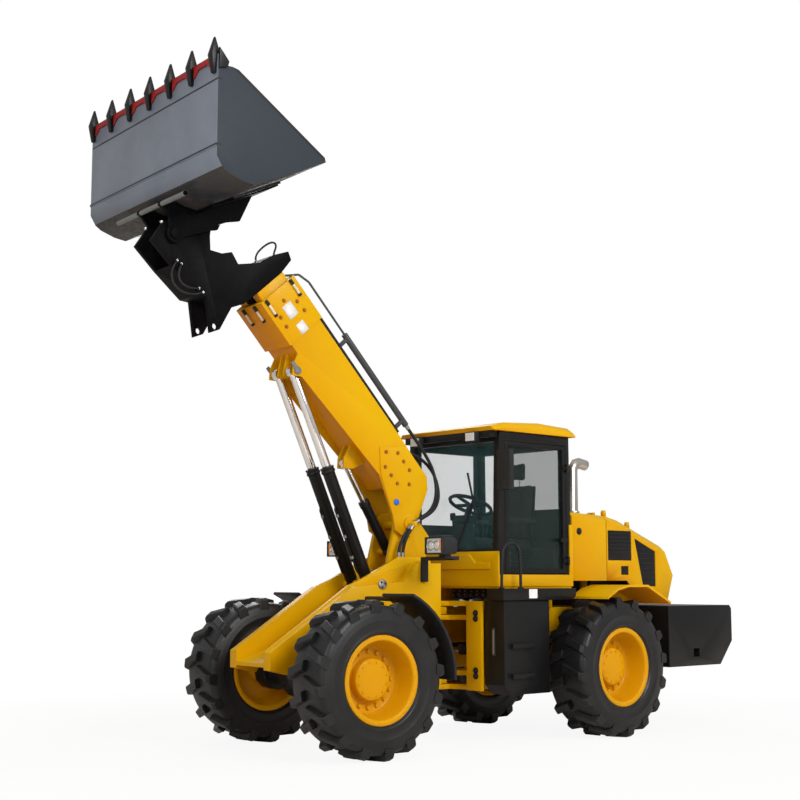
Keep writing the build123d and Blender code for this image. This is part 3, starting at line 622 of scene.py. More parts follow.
def rowOf(piece, spots, finish, matrix=straight):
    # spots are place, outward direction and the direction of the piece's own X
    mesh = bpy.data.meshes.new("spots")
    mesh.from_pydata([tuple(matrix @ Vector(p)) for p, _, _ in spots], [], [])
    turn = matrix.to_3x3()
    for label, index in (("lean", 1), ("along", 2)):
        layer = mesh.attributes.new(label, "FLOAT_VECTOR", "POINT")
        for item, spot in zip(layer.data, spots):
            item.vector = turn @ Vector(spot[index])
    holder = placed("spots", mesh)
    source = placed("piece", piece)
    modifier = holder.modifiers.new("row", "NODES")
    modifier.node_group = rowTree
    values = {"Piece": source, "Finish": look[finish]}
    for item in rowTree.interface.items_tree:
        if item.in_out == "INPUT" and item.name in values:
            modifier[item.identifier] = values[item.name]
    made = evaluated(holder)
    bpy.data.objects.remove(source)
    return shade(made, piece.polygons[0].use_smooth)


# a washer and a hexagon head: sides, share of the radius, foot and top as shares of the height
boltTiers = ((14, 1.35, -0.30, 0.25), (6, 1.0, 0.20, 1.0))


def boltHead(radius, height):
    vertices = []
    faces = []
    for count, share, low, high in boltTiers:
        first = len(vertices)
        turns = [2 * math.pi * k / count for k in range(count)]
        for level in (low, high):
            ring = [(radius * share * math.cos(turn), radius * share * math.sin(turn)) for turn in turns]
            vertices.extend((x, y, height * level) for x, y in ring)
        for i in range(count):
            j = (i + 1) % count
            faces.append((first + i, first + j, first + count + j, first + count + i))
        faces.append(tuple(range(first + count, first + 2 * count)))
    return cleanMesh(vertices, faces, straight, False)


def ringSpots(centre, radius, count, normal):
    normal = Vector(normal).normalized()
    side = normal.orthogonal().normalized()
    up = normal.cross(side)
    spots = []
    for k in range(count):
        turn = 2 * math.pi * k / count
        out = side * math.cos(turn) + up * math.sin(turn)
        spots.append((Vector(centre) + out * radius, normal, out))
    return spots


# tyres: a smooth carcass with staggered slanted lugs, on the solid tyre's own sizes
tyreShape = {
    "radius": 0.585, "steps": 128, "axle": 1.26, "height": 0.585, "side": 0.795,
    # radius and half width, from the bead to the crown
    "carcass": [(0.302, 0.184), (0.330, 0.184), (0.334, 0.194), (0.345, 0.200), (0.349, 0.205),
                (0.357, 0.206), (0.361, 0.2035), (0.392, 0.207), (0.424, 0.2085), (0.428, 0.2105),
                (0.436, 0.2105), (0.440, 0.2090), (0.468, 0.2090), (0.476, 0.206), (0.500, 0.203),
                (0.525, 0.194), (0.538, 0.180), (0.545, 0.150), (0.548, 0.0)],
    "lugs": 16, "lugBase": 0.53, "lugFlare": 1.25, "lugChamfer": 0.006, "lugRound": 0.007, "lugDrop": 0.016,
    # place along the tread, place across it and half thickness
    "lugBar": [(-0.012, 0.006, 0.036), (0.006, 0.060, 0.034), (0.032, 0.125, 0.033), (0.052, 0.178, 0.034),
               (0.060, 0.2035, 0.035)],
    # place along the tread and radius, where the lug runs out on the sidewall
    "lugEnd": [(0.107, 0.490), (0.099, 0.500), (0.093, 0.500), (0.031, 0.500), (0.025, 0.500),
               (0.017, 0.490)],
    "lugEndSide": 0.2065,
}


def wheelPlace(name):
    fore, left = wheelSpots[name]
    place = Matrix.Translation((fore * tyreShape["axle"], left * tyreShape["side"], tyreShape["height"]))
    return (frontTurn if fore > 0 else straight) @ place


def lugShape(settings, side):
    # a bent bar from near the middle of the tread to the shoulder, tapered to its top
    top, chamfer, bar = settings["radius"], settings["lugChamfer"], settings["lugBar"]
    around = len(settings["lugEnd"])
    vertices = []
    for shift, y, half in bar:
        drop = settings["lugDrop"] if y == bar[-1][1] else 0.0
        rows = ((half * settings["lugFlare"], settings["lugBase"]), (half, top - chamfer - drop),
                (half - chamfer, top - drop))
        loop = [(shift + w, r) for w, r in rows] + [(shift - w, r) for w, r in rows[::-1]]
        vertices.extend((along, side * y, math.sqrt(radius ** 2 - along ** 2)) for along, radius in loop)
    vertices.extend((along, side * settings["lugEndSide"], radius) for along, radius in settings["lugEnd"])
    faces = []
    for i in range(len(bar)):
        for a in range(i * around, (i + 1) * around - 1):
            faces.append((a, a + 1, a + around + 1, a + around))
    faces.append(tuple(range(around)))
    faces.append(tuple(range(len(bar) * around, (len(bar) + 1) * around)))
    return cleanMesh(vertices, faces, straight, False)


def makeTyre(name, settings):
    matrix = wheelPlace(name)
    half = settings["carcass"]
    profile = half + [(r, -y) for r, y in half[-2::-1]]
    pieces = [painted(lathe(profile, settings["steps"], matrix, True), "tyre")]
    pitch = 2 * math.pi / settings["lugs"]
    for side, stagger in ((1, 0.0), (-1, 0.5)):
        spots = []
        for k in range(settings["lugs"]):
            turn = pitch * (k + stagger)
            up = Vector((math.sin(turn), 0.0, math.cos(turn)))
            spots.append((Vector((0, 0, 0)), up, Vector((math.cos(turn), 0.0, -math.sin(turn)))))
        lug = rounded(lugShape(settings, side), settings["lugRound"])
        pieces.append(rowOf(lug, spots, "tyre", matrix))
    tyre = keep("tread_" + name, pieces, "wheel_" + name)
    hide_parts("tyre_" + name)


for name in wheelSpots:
    makeTyre(name, tyreShape)
print("tyres made")

# rims: deep dish with a bolted hub cover
rimShape = {
    "steps": 96,
    # ring radius, place along the axle, count, then the head's radius and height
    "hubBolts": (0.128, 0.0742, 12, 0.0075, 0.006), "wheelNuts": (0.205, 0.001, 16, 0.014, 0.018),
    # radius and place along the axle, from the hub's bore round to the hub cover
    "profile": [(0.060, -0.178), (0.108, -0.178), (0.110, -0.170), (0.110, -0.030), (0.118, -0.022),
                (0.262, -0.022), (0.280, -0.040), (0.286, -0.160), (0.287, -0.190), (0.326, -0.190),
                (0.330, -0.187), (0.330, -0.1845), (0.3022, -0.184), (0.3022, 0.184), (0.330, 0.1845),
                (0.330, 0.187), (0.326, 0.190), (0.300, 0.190), (0.292, 0.187), (0.286, 0.176),
                (0.283, 0.150), (0.262, 0.052), (0.250, 0.012), (0.236, 0.001), (0.170, 0.001),
                (0.160, 0.004), (0.158, 0.012), (0.157, 0.060), (0.152, 0.069), (0.140, 0.0745),
                (0.060, 0.075), (0.0, 0.075), (0.0, -0.041), (0.060, -0.041)],
    "valve": [(0.275, 0.06), (0.262, 0.10), (0.262, 0.13)], "valveRadius": 0.005,
}


def makeRim(name, settings):
    matrix = wheelPlace(name)
    left = wheelSpots[name][1]
    profile = [(r, y * left) for r, y in settings["profile"]]
    pieces = [painted(lathe(profile, settings["steps"], matrix, True), "rim")]
    for ring, y, count, radius, height in (settings["hubBolts"], settings["wheelNuts"]):
        spots = ringSpots((0, y * left, 0), ring, count, (0, left, 0))
        pieces.append(rowOf(boltHead(radius, height), spots, "rim", matrix))
    valve = tube([(r, y * left, 0.0) for r, y in settings["valve"]], settings["valveRadius"], matrix)
    rim = keep("dish_" + name, pieces + [painted(valve, "brass")], "wheel_" + name)
    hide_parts("rim_" + name)


for name in wheelSpots:
    makeRim(name, rimShape)
print("rims made")

# hoses: one smooth line along each solid hose's route, in millimetres, with a crimped ferrule at both ends
hoseRoutes = {
    "boom_hoses": {"body": "boom", "radius": 0.014, "matrix": boomFrame, "runs": [
        [(-4.5, 228, 21), (-21, 228, 99), (-45, 222, 190), (-48, 200, 285), (-15, 172, 385), (55, 145, 470),
         (150, 127, 530), (280, 120, 556), (430, 120, 558), (600, 120, 558)],
        [(-4.5, 258, 21), (-22, 258, 100), (-52, 248, 196), (-58, 222, 296), (-25, 185, 398), (45, 140, 482),
         (135, 100, 535), (240, 72, 538), (330, 62, 505), (388, 60, 455), (400, 60, 415), (400, 60, 405)]]},
    "tower_hoses": {"body": "front_frame", "radius": 0.014, "matrix": frontTurn, "runs": [
        [(435.6, 228, 1754.0), (472, 228, 1708), (518, 224, 1640), (543, 221, 1570), (548, 220, 1520),
         (548, 220, 1500)],
        [(434.7, 258, 1753.4), (468, 257, 1706), (500, 244, 1640), (509, 228, 1570), (510, 220, 1520),
         (510, 220, 1500)]]},
    "neck_hoses": {"body": "boom_extension", "radius": 0.008, "matrix": boomFrame, "runs": [
        [(2862, 150, -335), (2862, 160, -335), (2860, 172, -348), (2852, 178, -382), (2830, 179, -428),
         (2790, 179, -464), (2735, 179, -482), (2672, 179, -470), (2612, 178, -424), (2572, 174, -366),
         (2556, 164, -318), (2552, 158, -310), (2552, 150, -310)],
        [(2822, 150, -322), (2822, 164, -322), (2818, 184, -340), (2806, 198, -374), (2780, 201, -412),
         (2738, 201, -436), (2694, 201, -430), (2640, 198, -392), (2608, 184, -346), (2597, 168, -324),
         (2595, 159, -320), (2595, 150, -320)],
        [(2437.5, 50, 300.0), (2451.2, 50, 302.5), (2476, 50, 320), (2494, 50, 358), (2500, 50, 410),
         (2499, 50, 465), (2489, 50, 517), (2466, 50, 546), (2440, 52, 538), (2424, 58, 508),
         (2414, 70, 475), (2404, 88, 448), (2395, 101, 430), (2395, 112, 430)]]},
}
ferrule = {"length": 2.6, "radius": 1.22}


def makeHoses(name, settings):
    radius, matrix = settings["radius"], settings["matrix"]
    pieces = []
    for run in settings["runs"]:
        points = [Vector(p) * 0.001 for p in run]
        pieces.append(painted(tube(points, radius, matrix), "hose"))
        for a, b in ((points[0], points[1]), (points[-1], points[-2])):
            end = a + (b - a).normalized() * radius * ferrule["length"]
            pieces.append(rod([a, end], radius * ferrule["radius"], "steel", matrix))
    line = keep(name + "_line", pieces, settings["body"])
    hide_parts(name)


for name, settings in hoseRoutes.items():
    makeHoses(name, settings)
print("hoses made")

# boom fittings, along the boom and up from it: bolts, wear pad screws, pin plates, blank labels and a plug
boomTrim = {
    "face": 0.190, "collar": 0.192, "bolt": (0.0125, 0.011),
    "rearBolts": ((0.588, 0.212), (0.507, 0.298), (0.419, 0.298), (0.502, 0.124), (0.328, 0.297),
                  (0.414, 0.126), (0.324, 0.128), (0.242, 0.217)),
    "mouthBolts": ((2.097, 0.222), (2.022, 0.320), (2.012, 0.112), (1.926, 0.107), (1.930, 0.330)),
    # places across and up, then start, end, radius and finish of each part of a screw
    "screws": ((0.203, 0.372), (0.203, 0.082), (0.085, 0.027)),
    "screwParts": ((2.062, 2.150, 0.011, "cream"), (2.150, 2.194, 0.014, "plastic"),
                   (2.042, 2.062, 0.0145, "plastic")),
    "liftPin": ((1.600, 0.180, -0.030), 0.032, 0.012),
    "liftTab": ((1.610, 0.181, -0.046), (1.685, 0.193, -0.014)),
    "plug": ((0.216, 0.190, 0.020), 0.025, 0.012), "topStrip": ((0.620, 0.136, 0.404), (1.786, 0.165, 0.446)),
    "labels": (((1.945, 0.1915, 0.174), (2.065, 0.1928, 0.270)),
               ((1.792, 0.1915, 0.186), (1.884, 0.1928, 0.266))),
}


def makeBoomTrim(settings):
    bolts = []
    pieces = []
    (u, y, v), pinRadius, pinHeight = settings["liftPin"]
    for side in (1, -1):
        out = (0, side, 0)
        for key, face in (("rearBolts", settings["face"]), ("mouthBolts", settings["collar"])):
            bolts.extend(((along, side * face, up), out, (1, 0, 0)) for along, up in settings[key])
        for across, up in settings["screws"]:
            for start, end, radius, finish in settings["screwParts"]:
                ends = [(start, side * across, up), (end, side * across, up)]
                pieces.append(rod(ends, radius, finish, boomFrame))
        pieces.append(button((u, side * y, v), out, pinRadius, pinHeight, "zinc", boomFrame))
        pieces.append(block(*settings["liftTab"], 0.003, "zinc", boomFrame, side))
    place, radius, height = settings["plug"]
    pieces.append(button(place, (0, 1, 0), radius, height, "blue", boomFrame))
    pieces.extend(block(low, high, 0.0, "label", boomFrame) for low, high in settings["labels"])
    # a thin black strip along the top of the boom on its left
    pieces.append(block(*settings["topStrip"], 0.006, "black", boomFrame))
    pieces.append(rowOf(boltHead(*settings["bolt"]), bolts, "bolt", boomFrame))
    keep("boom_fittings", pieces, "boom")


makeBoomTrim(boomTrim)

# pin heads on the front frame: place, radius and sides; then the bolts of the articulation's flange
frameTrim = {"pins": (((0.423, 0.206, 1.770), 0.044, (-1,)), ((0.770, 0.300, 1.280), 0.040, (1, -1))),
             "pinHeight": 0.012, "pinBolt": (0.008, 0.008), "flange": (-0.06, 0.41),
             "flangeBolts": (1.045, 1.000, 0.580, 0.535), "flangeBolt": (0.020, 0.018)}


def makeFrameTrim(settings):
    height = settings["pinHeight"]
    pieces = []
    spots = []
    for (x, y, z), radius, sides in settings["pins"]:
        for side in sides:
            out = (0, side, 0)
            pieces.append(button((x, side * y, z), out, radius, height, "steel", frontTurn))
            spots.extend(ringSpots((x, side * (y + height), z), radius * 0.6, 3, out))
    pieces.append(rowOf(boltHead(*settings["pinBolt"]), spots, "grey", frontTurn))
    keep("frame_pin_heads", pieces, "front_frame")
    x, y = settings["flange"]
    spots = []
    for side in (1, -1):
        spots.extend(((x, side * y, z), (1, 0, 0), (0, 1, 0)) for z in settings["flangeBolts"])
    bolts = rowOf(boltHead(*settings["flangeBolt"]), spots, "plastic")
    keep("flange_bolts", [bolts], "rear_frame")


makeFrameTrim(frameTrim)

# neck tips: bright pin ends
neckTrim = {"tip": (3.142, 0.131, -0.232), "out": (1, 0, 0.15), "radius": 0.017, "height": 0.022}


def makeNeckTrim(settings):
    u, y, v = settings["tip"]
    size = settings["radius"], settings["height"]
    ends = []
    for side in (1, -1):
        ends.append(button((u, side * y, v), settings["out"], *size, "chrome", boomFrame))
    keep("neck_pin_ends", ends, "boom_extension")


makeNeckTrim(neckTrim)
print("boom fittings made")

# headlamps: bezel, two ringed bulbs and an amber marker on each lens
lampTrim = {"face": 0.556, "back": 0.544, "proud": 0.568, "frame": (0.590, 0.810, 1.515, 1.650),
            "glass": (0.602, 0.798, 1.525, 1.640), "bulbs": ((0.652, 1.5825), (0.728, 1.5825)), "bulb": 0.034,
            "marker": ((0.555, 0.771, 1.540), (0.561, 0.793, 1.626))}


def makeLampTrim(settings):
    back, proud, size = settings["back"], settings["proud"], settings["bulb"]
    y0, y1, z0, z1 = settings["frame"]
    a0, a1, b0, b1 = settings["glass"]
    bars = ((y0, a0, z0, z1), (a1, y1, z0, z1), (a0, a1, z0, b0), (a0, a1, b1, z1))
    ring = [(size, 0.0), (size + 0.006, 0.0), (size + 0.006, 0.007), (size + 0.002, 0.010), (size, 0.008)]
    dome = [(0.0, 0.0), (size, 0.0), (size * 0.8, 0.004), (size * 0.4, 0.0075), (0.0, 0.009)]
    pieces = []
    for side in (1, -1):
        for near, far, foot, top in bars:
            pieces.append(block((back, near, foot), (proud, far, top), 0.003, "plastic", frontTurn, side))
        for y, z in settings["bulbs"]:
            for profile, finish, closed in ((ring, "chrome", True), (dome, "lamp", False)):
                bulb = turned(profile, (settings["face"], side * y, z), (1, 0, 0), 32, closed)
                bulb.transform(frontTurn)
                pieces.append(painted(bulb, finish))
        pieces.append(block(*settings["marker"], 0.002, "amber", frontTurn, side))
    keep("headlamp_bezels", pieces, "front_frame")


makeLampTrim(lampTrim)

# cylinder fittings: gland rings, hard pipes along the lift barrels and a bright sleeve on the hitch bar
cylinderTrim = {
    "foot": (0.770, 0.0, 1.280), "eye": (1.600, -0.030), "y": 0.108,
    # radius and place along the barrel
    "ring": [(0.052, 0.968), (0.0575, 0.968), (0.0575, 0.984), (0.0525, 0.988), (0.0525, 1.000),
             (0.0575, 1.004), (0.0575, 1.012), (0.052, 1.012)],
    # place along the barrel and out from its axis
    "pipe": ((0.110, 0.046), (0.140, 0.062), (0.670, 0.062), (0.700, 0.046)), "pipeRadius": 0.008,
    "clips": (0.26, 0.44, 0.62), "clipHalf": 0.012, "clipOut": 0.060, "clipRadius": 0.013,
    "bar": (2.717, 4.099, 0.0195), "sleeves": ((-0.555, -0.192), (-0.158, 0.158), (0.192, 0.555))}


def makeCylinderTrim(settings):
    u, v = settings["eye"]
    foot = Vector(settings["foot"])
    eye = boomPivot + Vector((u * boomCos - v * boomSin, 0.0, u * boomSin + v * boomCos))
    along = (eye - foot).normalized()
    ahead = Vector((along.z, 0.0, -along.x))
    pieces = []
    for side in (1, -1):
        base = foot + Vector((0.0, side * settings["y"], 0.0))
        gland = turned(settings["ring"], base, along, 28, True)
        gland.transform(frontTurn)
        pieces.append(painted(gland, "black"))
        path = [base + along * place + ahead * out for place, out in settings["pipe"]]
        pieces.append(rod(path, settings["pipeRadius"], "black", frontTurn))
        for place in settings["clips"]:
            middle = base + along * place + ahead * settings["clipOut"]
            half = along * settings["clipHalf"]
            pieces.append(rod([middle - half, middle + half], settings["clipRadius"], "zinc", frontTurn))
    keep("lift_barrel_fittings", pieces, "lift_barrel_pair")
    x, z, radius = settings["bar"]
    sleeves = [rod([(x, a, z), (x, b, z)], radius, "zinc", frontTurn) for a, b in settings["sleeves"]]
    keep("hitch_bar_sleeve", sleeves, "tool")


makeCylinderTrim(cylinderTrim)

# cab: lamp lenses, grab rails and wiper
cabTrim = {
    "lenses": (((-0.076, 0.29, 2.474), (-0.070, 0.39, 2.542)),
               ((-1.150, 0.29, 2.482), (-1.144, 0.39, 2.548))),
    "rail": [(-0.110, 1.246), (-0.112, 1.36), (-0.118, 1.52), (-0.150, 1.600), (-0.224, 1.622),
             (-0.300, 1.600), (-0.334, 1.52), (-0.338, 1.36), (-0.338, 1.246)],
    "railSide": 0.66, "railRadius": 0.012, "railFoot": (0.024, 0.010),
    "wiper": [(-0.198, 0.05, 1.585), (-0.199, 0.09, 1.66), (-0.206, 0.20, 1.90), (-0.210, 0.25, 2.02)],
    "blade": [(-0.2075, 0.30, 1.78), (-0.2155, 0.17, 2.22)], "armRadius": 0.007, "bladeRadius": 0.009,
    "wiperFoot": ((-0.196, 0.05, 1.58), (1, 0, 0), 0.020, 0.018),
}


def makeCabTrim(settings):
    lenses = []
    rails = []
    ends = (settings["rail"][0], settings["rail"][-1])
    for side in (1, -1):
        y = side * settings["railSide"]
        lenses.extend(block(low, high, 0.002, "lamp", straight, side) for low, high in settings["lenses"])
        rail = tube([(x, y, z) for x, z in settings["rail"]], settings["railRadius"])
        rails.append(painted(rail, "plastic"))
        rails.extend(button((x, y, z), (0, 0, 1), *settings["railFoot"], "plastic") for x, z in ends)
    keep("cab_lamp_lenses", lenses, "rear_frame")
    keep("grab_rails", rails, "rear_frame")
    arm = painted(tube(settings["wiper"], settings["armRadius"]), "plastic")
    blade = rod(settings["blade"], settings["bladeRadius"], "plastic")
    foot = button(*settings["wiperFoot"], "plastic")
    keep("wiper", [arm, blade, foot], "rear_frame")


makeCabTrim(cabTrim)

# cab inside: rounding, finish and the corners of each panel, box, liner, mat and dial shade, then a lever
innerTrim = {
    "blocks": (
        (0.004, "trim", (-1.040, -0.499, 1.400), (-0.265, -0.487, 1.800)),
        (0.004, "trim", (-1.044, -0.470, 1.400), (-1.030, 0.470, 1.930)),
        (0.022, "trim", (-0.980, -0.486, 1.311), (-0.540, -0.335, 1.700)),
        (0.022, "trim", (-0.430, -0.480, 1.311), (-0.262, -0.120, 1.700)),
        (0.022, "trim", (-0.430, 0.130, 1.311), (-0.262, 0.480, 1.560)),
        (0.022, "trim", (-1.030, -0.480, 1.311), (-0.960, 0.480, 1.600)),
        (0.003, "plastic", (-1.030, -0.495, 2.535), (-0.270, 0.495, 2.553)),
        (0.003, "plastic", (-1.030, -0.495, 1.3105), (-0.245, 0.495, 1.318)),
        (0.015, "plastic", (-0.40, -0.10, 1.80), (-0.30, 0.10, 1.87))),
    "lever": [(-0.62, -0.41, 1.70), (-0.62, -0.41, 1.78), (-0.60, -0.40, 1.86)], "leverRadius": 0.012,
    "knob": ((-0.60, -0.40, 1.85), (0.2, 0.1, 1), 0.026, 0.06),
}


def makeInnerTrim(settings):
    pieces = [block(low, high, width, finish) for width, finish, low, high in settings["blocks"]]
    pieces.append(painted(tube(settings["lever"], settings["leverRadius"]), "plastic"))
    pieces.append(button(*settings["knob"], "plastic"))
    keep("cab_inner_trim", pieces, "rear_frame")


makeInnerTrim(innerTrim)
print("cab trim made")

# valve bank under the cab floor: a row of cast sections with bright plugs
valveBank = {"x": (-0.62, -0.44), "z": (1.158, 1.2465), "step": 0.074, "count": 7, "thick": 0.066,
             # height of the plug, its radius, its length and finish
             "plugs": ((1.188, 0.016, 0.030, "zinc"), (1.222, 0.0112, 0.022, "steel"))}


def makeValveBank(settings):
    (x0, x1), (z0, z1) = settings["x"], settings["z"]
    half = settings["thick"] / 2.0
    reach = (settings["count"] - 1) / 2.0
    places = [(k - reach) * settings["step"] for k in range(settings["count"])]
    section = brick((x0, -half, z0), (x1, half, z1), straight, 0.008)
    pieces = [rowOf(section, [((0.0, y, 0.0), (0, 0, 1), (1, 0, 0)) for y in places], "iron")]
    for y in places:
        for x, out in ((x1, 1), (x0, -1)):
            for z, radius, length, finish in settings["plugs"]:
                pieces.append(button((x, y, z), (out, 0, 0), radius, length, finish))
    keep("valve_bank", pieces, "rear_frame")


makeValveBank(valveBank)

# engine top, seen when the hood is up: ribbed rocker cover, air filter and manifold
engineTop = {
    "cover": ((-2.240, -0.105, 1.4795), (-1.760, 0.105, 1.5375)), "ribs": 7, "ribInset": 0.03,
    "rib": ((-0.006, -0.085, -0.004), (0.006, 0.085, 0.008)),
    "bolts": 6, "boltInset": 0.025, "boltOut": 0.014, "bolt": (0.009, 0.010),
    "filler": ((-1.830, 0.0, 1.5375), (0, 0, 1), 0.030, 0.030),
    # radius and place along the can, from its rear end
    "filter": [(0.0, 0.0), (0.056, 0.0), (0.064, 0.008), (0.064, 0.10), (0.069, 0.104), (0.069, 0.124),
               (0.064, 0.128), (0.064, 0.320), (0.044, 0.340), (0.0, 0.340)],
    "filterEnd": (-2.180, 0.195, 1.548),
    "manifold": ((-2.190, -0.190, 1.512), (-1.770, -0.190, 1.512)), "manifoldRadius": 0.030,
    "ports": 4, "portEnd": -0.135, "portRadius": 0.021}


def makeEngineTop(settings):
    (x0, y0, deck), (x1, y1, top) = settings["cover"]

    def spread(count, inset):
        step = (x1 - x0 - 2 * inset) / (count - 1)
        return [x0 + inset + step * k for k in range(count)]

    pieces = [block(*settings["cover"], 0.014, "black")]
    spots = [((x, 0.0, top), (0, 0, 1), (1, 0, 0)) for x in spread(settings["ribs"], settings["ribInset"])]
    pieces.append(rowOf(brick(*settings["rib"], straight, 0.003), spots, "black"))
    spots = []
    for y in (y0 - settings["boltOut"], y1 + settings["boltOut"]):
        for x in spread(settings["bolts"], settings["boltInset"]):
            spots.append(((x, y, deck), (0, 0, 1), (1, 0, 0)))
    pieces.append(rowOf(boltHead(*settings["bolt"]), spots, "zinc"))
    pieces.append(button(*settings["filler"], "plastic"))
    pieces.append(painted(turned(settings["filter"], settings["filterEnd"], (1, 0, 0), 36), "plastic"))
    pieces.append(rod(settings["manifold"], settings["manifoldRadius"], "dull"))
    (a, y, z), (b, _, _) = settings["manifold"]
    for k in range(settings["ports"]):
        x = a + (b - a) * (k + 0.5) / settings["ports"]
        pieces.append(rod([(x, y, z), (x, settings["portEnd"], z)], settings["portRadius"], "dull"))
    keep("engine_top", pieces, "rear_frame")


makeEngineTop(engineTop)

# hood and tank fittings: stops and latches set on the solid skin, tank pulls and a blank plate
hoodTrim = {
    "stops": ((-1.640, 0.47), (-1.970, 0.47), (-1.640, -0.47), (-1.970, -0.47)), "stop": (0.024, 0.062),
    "stopFoot": (0.032, 0.008), "latch": (-1.207, 1.739), "latchTiers": ((0.030, 0.012), (0.016, 0.022)),
    # corners and finish
    "pulls": (((-0.096, 0.564, 0.705), (-0.089, 0.596, 0.925), "grey"),
              ((-0.095, 0.573, 0.717), (-0.087, 0.587, 0.913), "steel")),
    "plate": ((-0.462, 0.7285, 1.166), (-0.362, 0.7318, 1.240))}


def touch(node, start, toward):
    mesh = nodes[node].data
    tree = BVHTree.FromPolygons([v.co for v in mesh.vertices], [p.vertices for p in mesh.polygons])
    place, normal, _, _ = tree.ray_cast(Vector(start), Vector(toward))
    return place, normal


def makeHoodTrim(settings):
    stops = []
    for x, y in settings["stops"]:
        place, normal = touch("hood", (x, y, 3.0), (0, 0, -1))
        stops.append(button(place, (0, 0, 1), *settings["stop"], "yellow"))
        stops.append(button(place, normal, *settings["stopFoot"], "yellow"))
    keep("hood_stops", stops, "engine_hood")
    x, z = settings["latch"]
    latches = []
    pulls = []
    for side in (1, -1):
        place, normal = touch("engine_cowl", (x, side * 1.5, z), (0, -side, 0))
        for radius, height in settings["latchTiers"]:
            latches.append(button(place, normal, radius, height, "plastic"))
        for low, high, finish in settings["pulls"]:
            pulls.append(block(low, high, 0.002, finish, straight, side))
    keep("cowl_latches", latches, "rear_frame")
    keep("tank_pulls", pulls, "rear_frame")
    keep("platform_plate", [block(*settings["plate"], 0.0006, "label")], "rear_frame")


makeHoodTrim(hoodTrim)
print("hood fittings made")

# driver's seat: swollen cloth pads on a bellows base
seatShape = {
    "voxel": 0.009, "pressure": 4.0, "frames": 20, "fill": 0.7, "edge": 0.022,
    "channel": 0.13, "channelWidth": 0.010, "channelDepth": 0.007,
    # outline from the side, half width and how far the cloth may swell
    "pads": {
        "seat_cushion": ([(-0.965, 1.572), (-0.520, 1.572), (-0.512, 1.60), (-0.525, 1.662), (-0.960, 1.652)],
                         0.234, 0.014),
        "seat_back": ([(-0.873, 1.682), (-0.968, 1.682), (-1.008, 2.150), (-0.945, 2.160)], 0.224, 0.013),
        "seat_headrest": ([(-0.955, 2.192), (-1.002, 2.192), (-1.010, 2.350), (-0.962, 2.350)],
                          0.126, 0.010)},
    "pan": ((-0.965, -0.235, 1.540), (-0.520, 0.235, 1.562)),
    "bellows": ((-0.940, -0.205), (-0.620, 0.205)), "bellowsFoot": 1.3185,
    "fold": 0.0445, "folds": 5, "inset": 0.018,
    # rounding, finish and corners, on both sides
    "arms": ((0.018, "trim", (-0.925, 0.258, 1.802), (-0.565, 0.312, 1.848)),
             (0.008, "plastic", (-0.925, 0.245, 1.700), (-0.875, 0.290, 1.815))),
    "posts": ((-0.976, 2.13), (-0.982, 2.21)), "postSide": 0.06, "postRadius": 0.007,
    "shell": ([(-0.968, 1.600), (-0.985, 1.600), (-1.026, 2.140), (-1.012, 2.140)], 0.215),
}


def swell(mesh, settings, most):
    # pressure pushes the pad out, and no point goes further than most
    scene = bpy.context.scene
    rough = placed("pad", mesh)
    grid = rough.modifiers.new("grid", "REMESH")
    grid.mode = "VOXEL"
    grid.voxel_size = settings["voxel"]
    start = evaluated(rough)
    pad = placed("pad", start)
    cloth = pad.modifiers.new("cloth", "CLOTH")
    cloth.settings.use_pressure = True
    cloth.settings.uniform_pressure_force = settings["pressure"]
    cloth.settings.effector_weights.gravity = 0.0
    cloth.point_cache.frame_start = 1
    cloth.point_cache.frame_end = settings["frames"]
    for number in range(1, settings["frames"] + 1):
        scene.frame_set(number)
    swollen = evaluated(pad)
    for before, after in zip(start.vertices, swollen.vertices):
        move = after.co - before.co
        if move.length > most:
            after.co = before.co + move.normalized() * most
    scene.frame_set(1)
    return swollen


def makePad(name, settings):
    outline, half, most = settings["pads"][name]
    mesh = swell(slab(outline, -half, half, straight, settings["edge"]), settings, most)
    normals = [v.normal.copy() for v in mesh.vertices]
    for vertex, normal in zip(mesh.vertices, normals):
        off = (abs(vertex.co.y) - settings["channel"]) / settings["channelWidth"]
        vertex.co -= normal * settings["channelDepth"] * math.exp(-off * off)
    pad = keep(name, [painted(shade(mesh), "cloth")], "rear_frame")
    fine = pad.modifiers.new("fine", "SUBSURF")
    fine.levels = 1
    fine.render_levels = 1


def makeSeatBase(settings):
    (x0, y0), (x1, y1) = settings["bellows"]
    fold = settings["fold"]
    pieces = [block(*settings["pan"], 0.006, "plastic")]
    for k in range(settings["folds"]):
        inset = settings["inset"] * (k % 2)
        foot = settings["bellowsFoot"] + fold * k
        low, high = (x0 + inset, y0 + inset, foot), (x1 - inset, y1 - inset, foot + fold)
        pieces.append(block(low, high, 0.008, "plastic"))
    for side in (1, -1):
        for width, finish, low, high in settings["arms"]:
            pieces.append(block(low, high, width, finish, straight, side))
        post = [(x, side * settings["postSide"], z) for x, z in settings["posts"]]
        pieces.append(rod(post, settings["postRadius"], "chrome"))
    outline, half = settings["shell"]
    pieces.append(painted(slab(outline, -half, half, straight, 0.005), "plastic"))
    base = keep("seat_frame", pieces, "rear_frame")
    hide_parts("operator_seat")


makeSeatBase(seatShape)
for name in seatShape["pads"]:
    makePad(name, seatShape)
print("seat made")

# floor, light and backdrop
studio = {"floor": 60.0, "floorTone": 0.8, "near": 3.0, "far": 6.5, "shadow": 0.09, "sky": 0.38, "gloss": 0.5,
          "skyColour": (1.0, 0.84, 0.68), "aim": (0.4, 0.0, 1.8), "unmirrored": "side",
          "lamps": (("key", 1080.0, 5.0, (1.5, 11.5, 7.5)), ("front", 330.0, 6.0, (9.5, 3.0, 6.0)),
                    ("rear", 420.0, 6.0, (-6.0, -9.5, 7.0)), ("side", 240.0, 5.0, (-7.5, 8.0, 4.0)))}


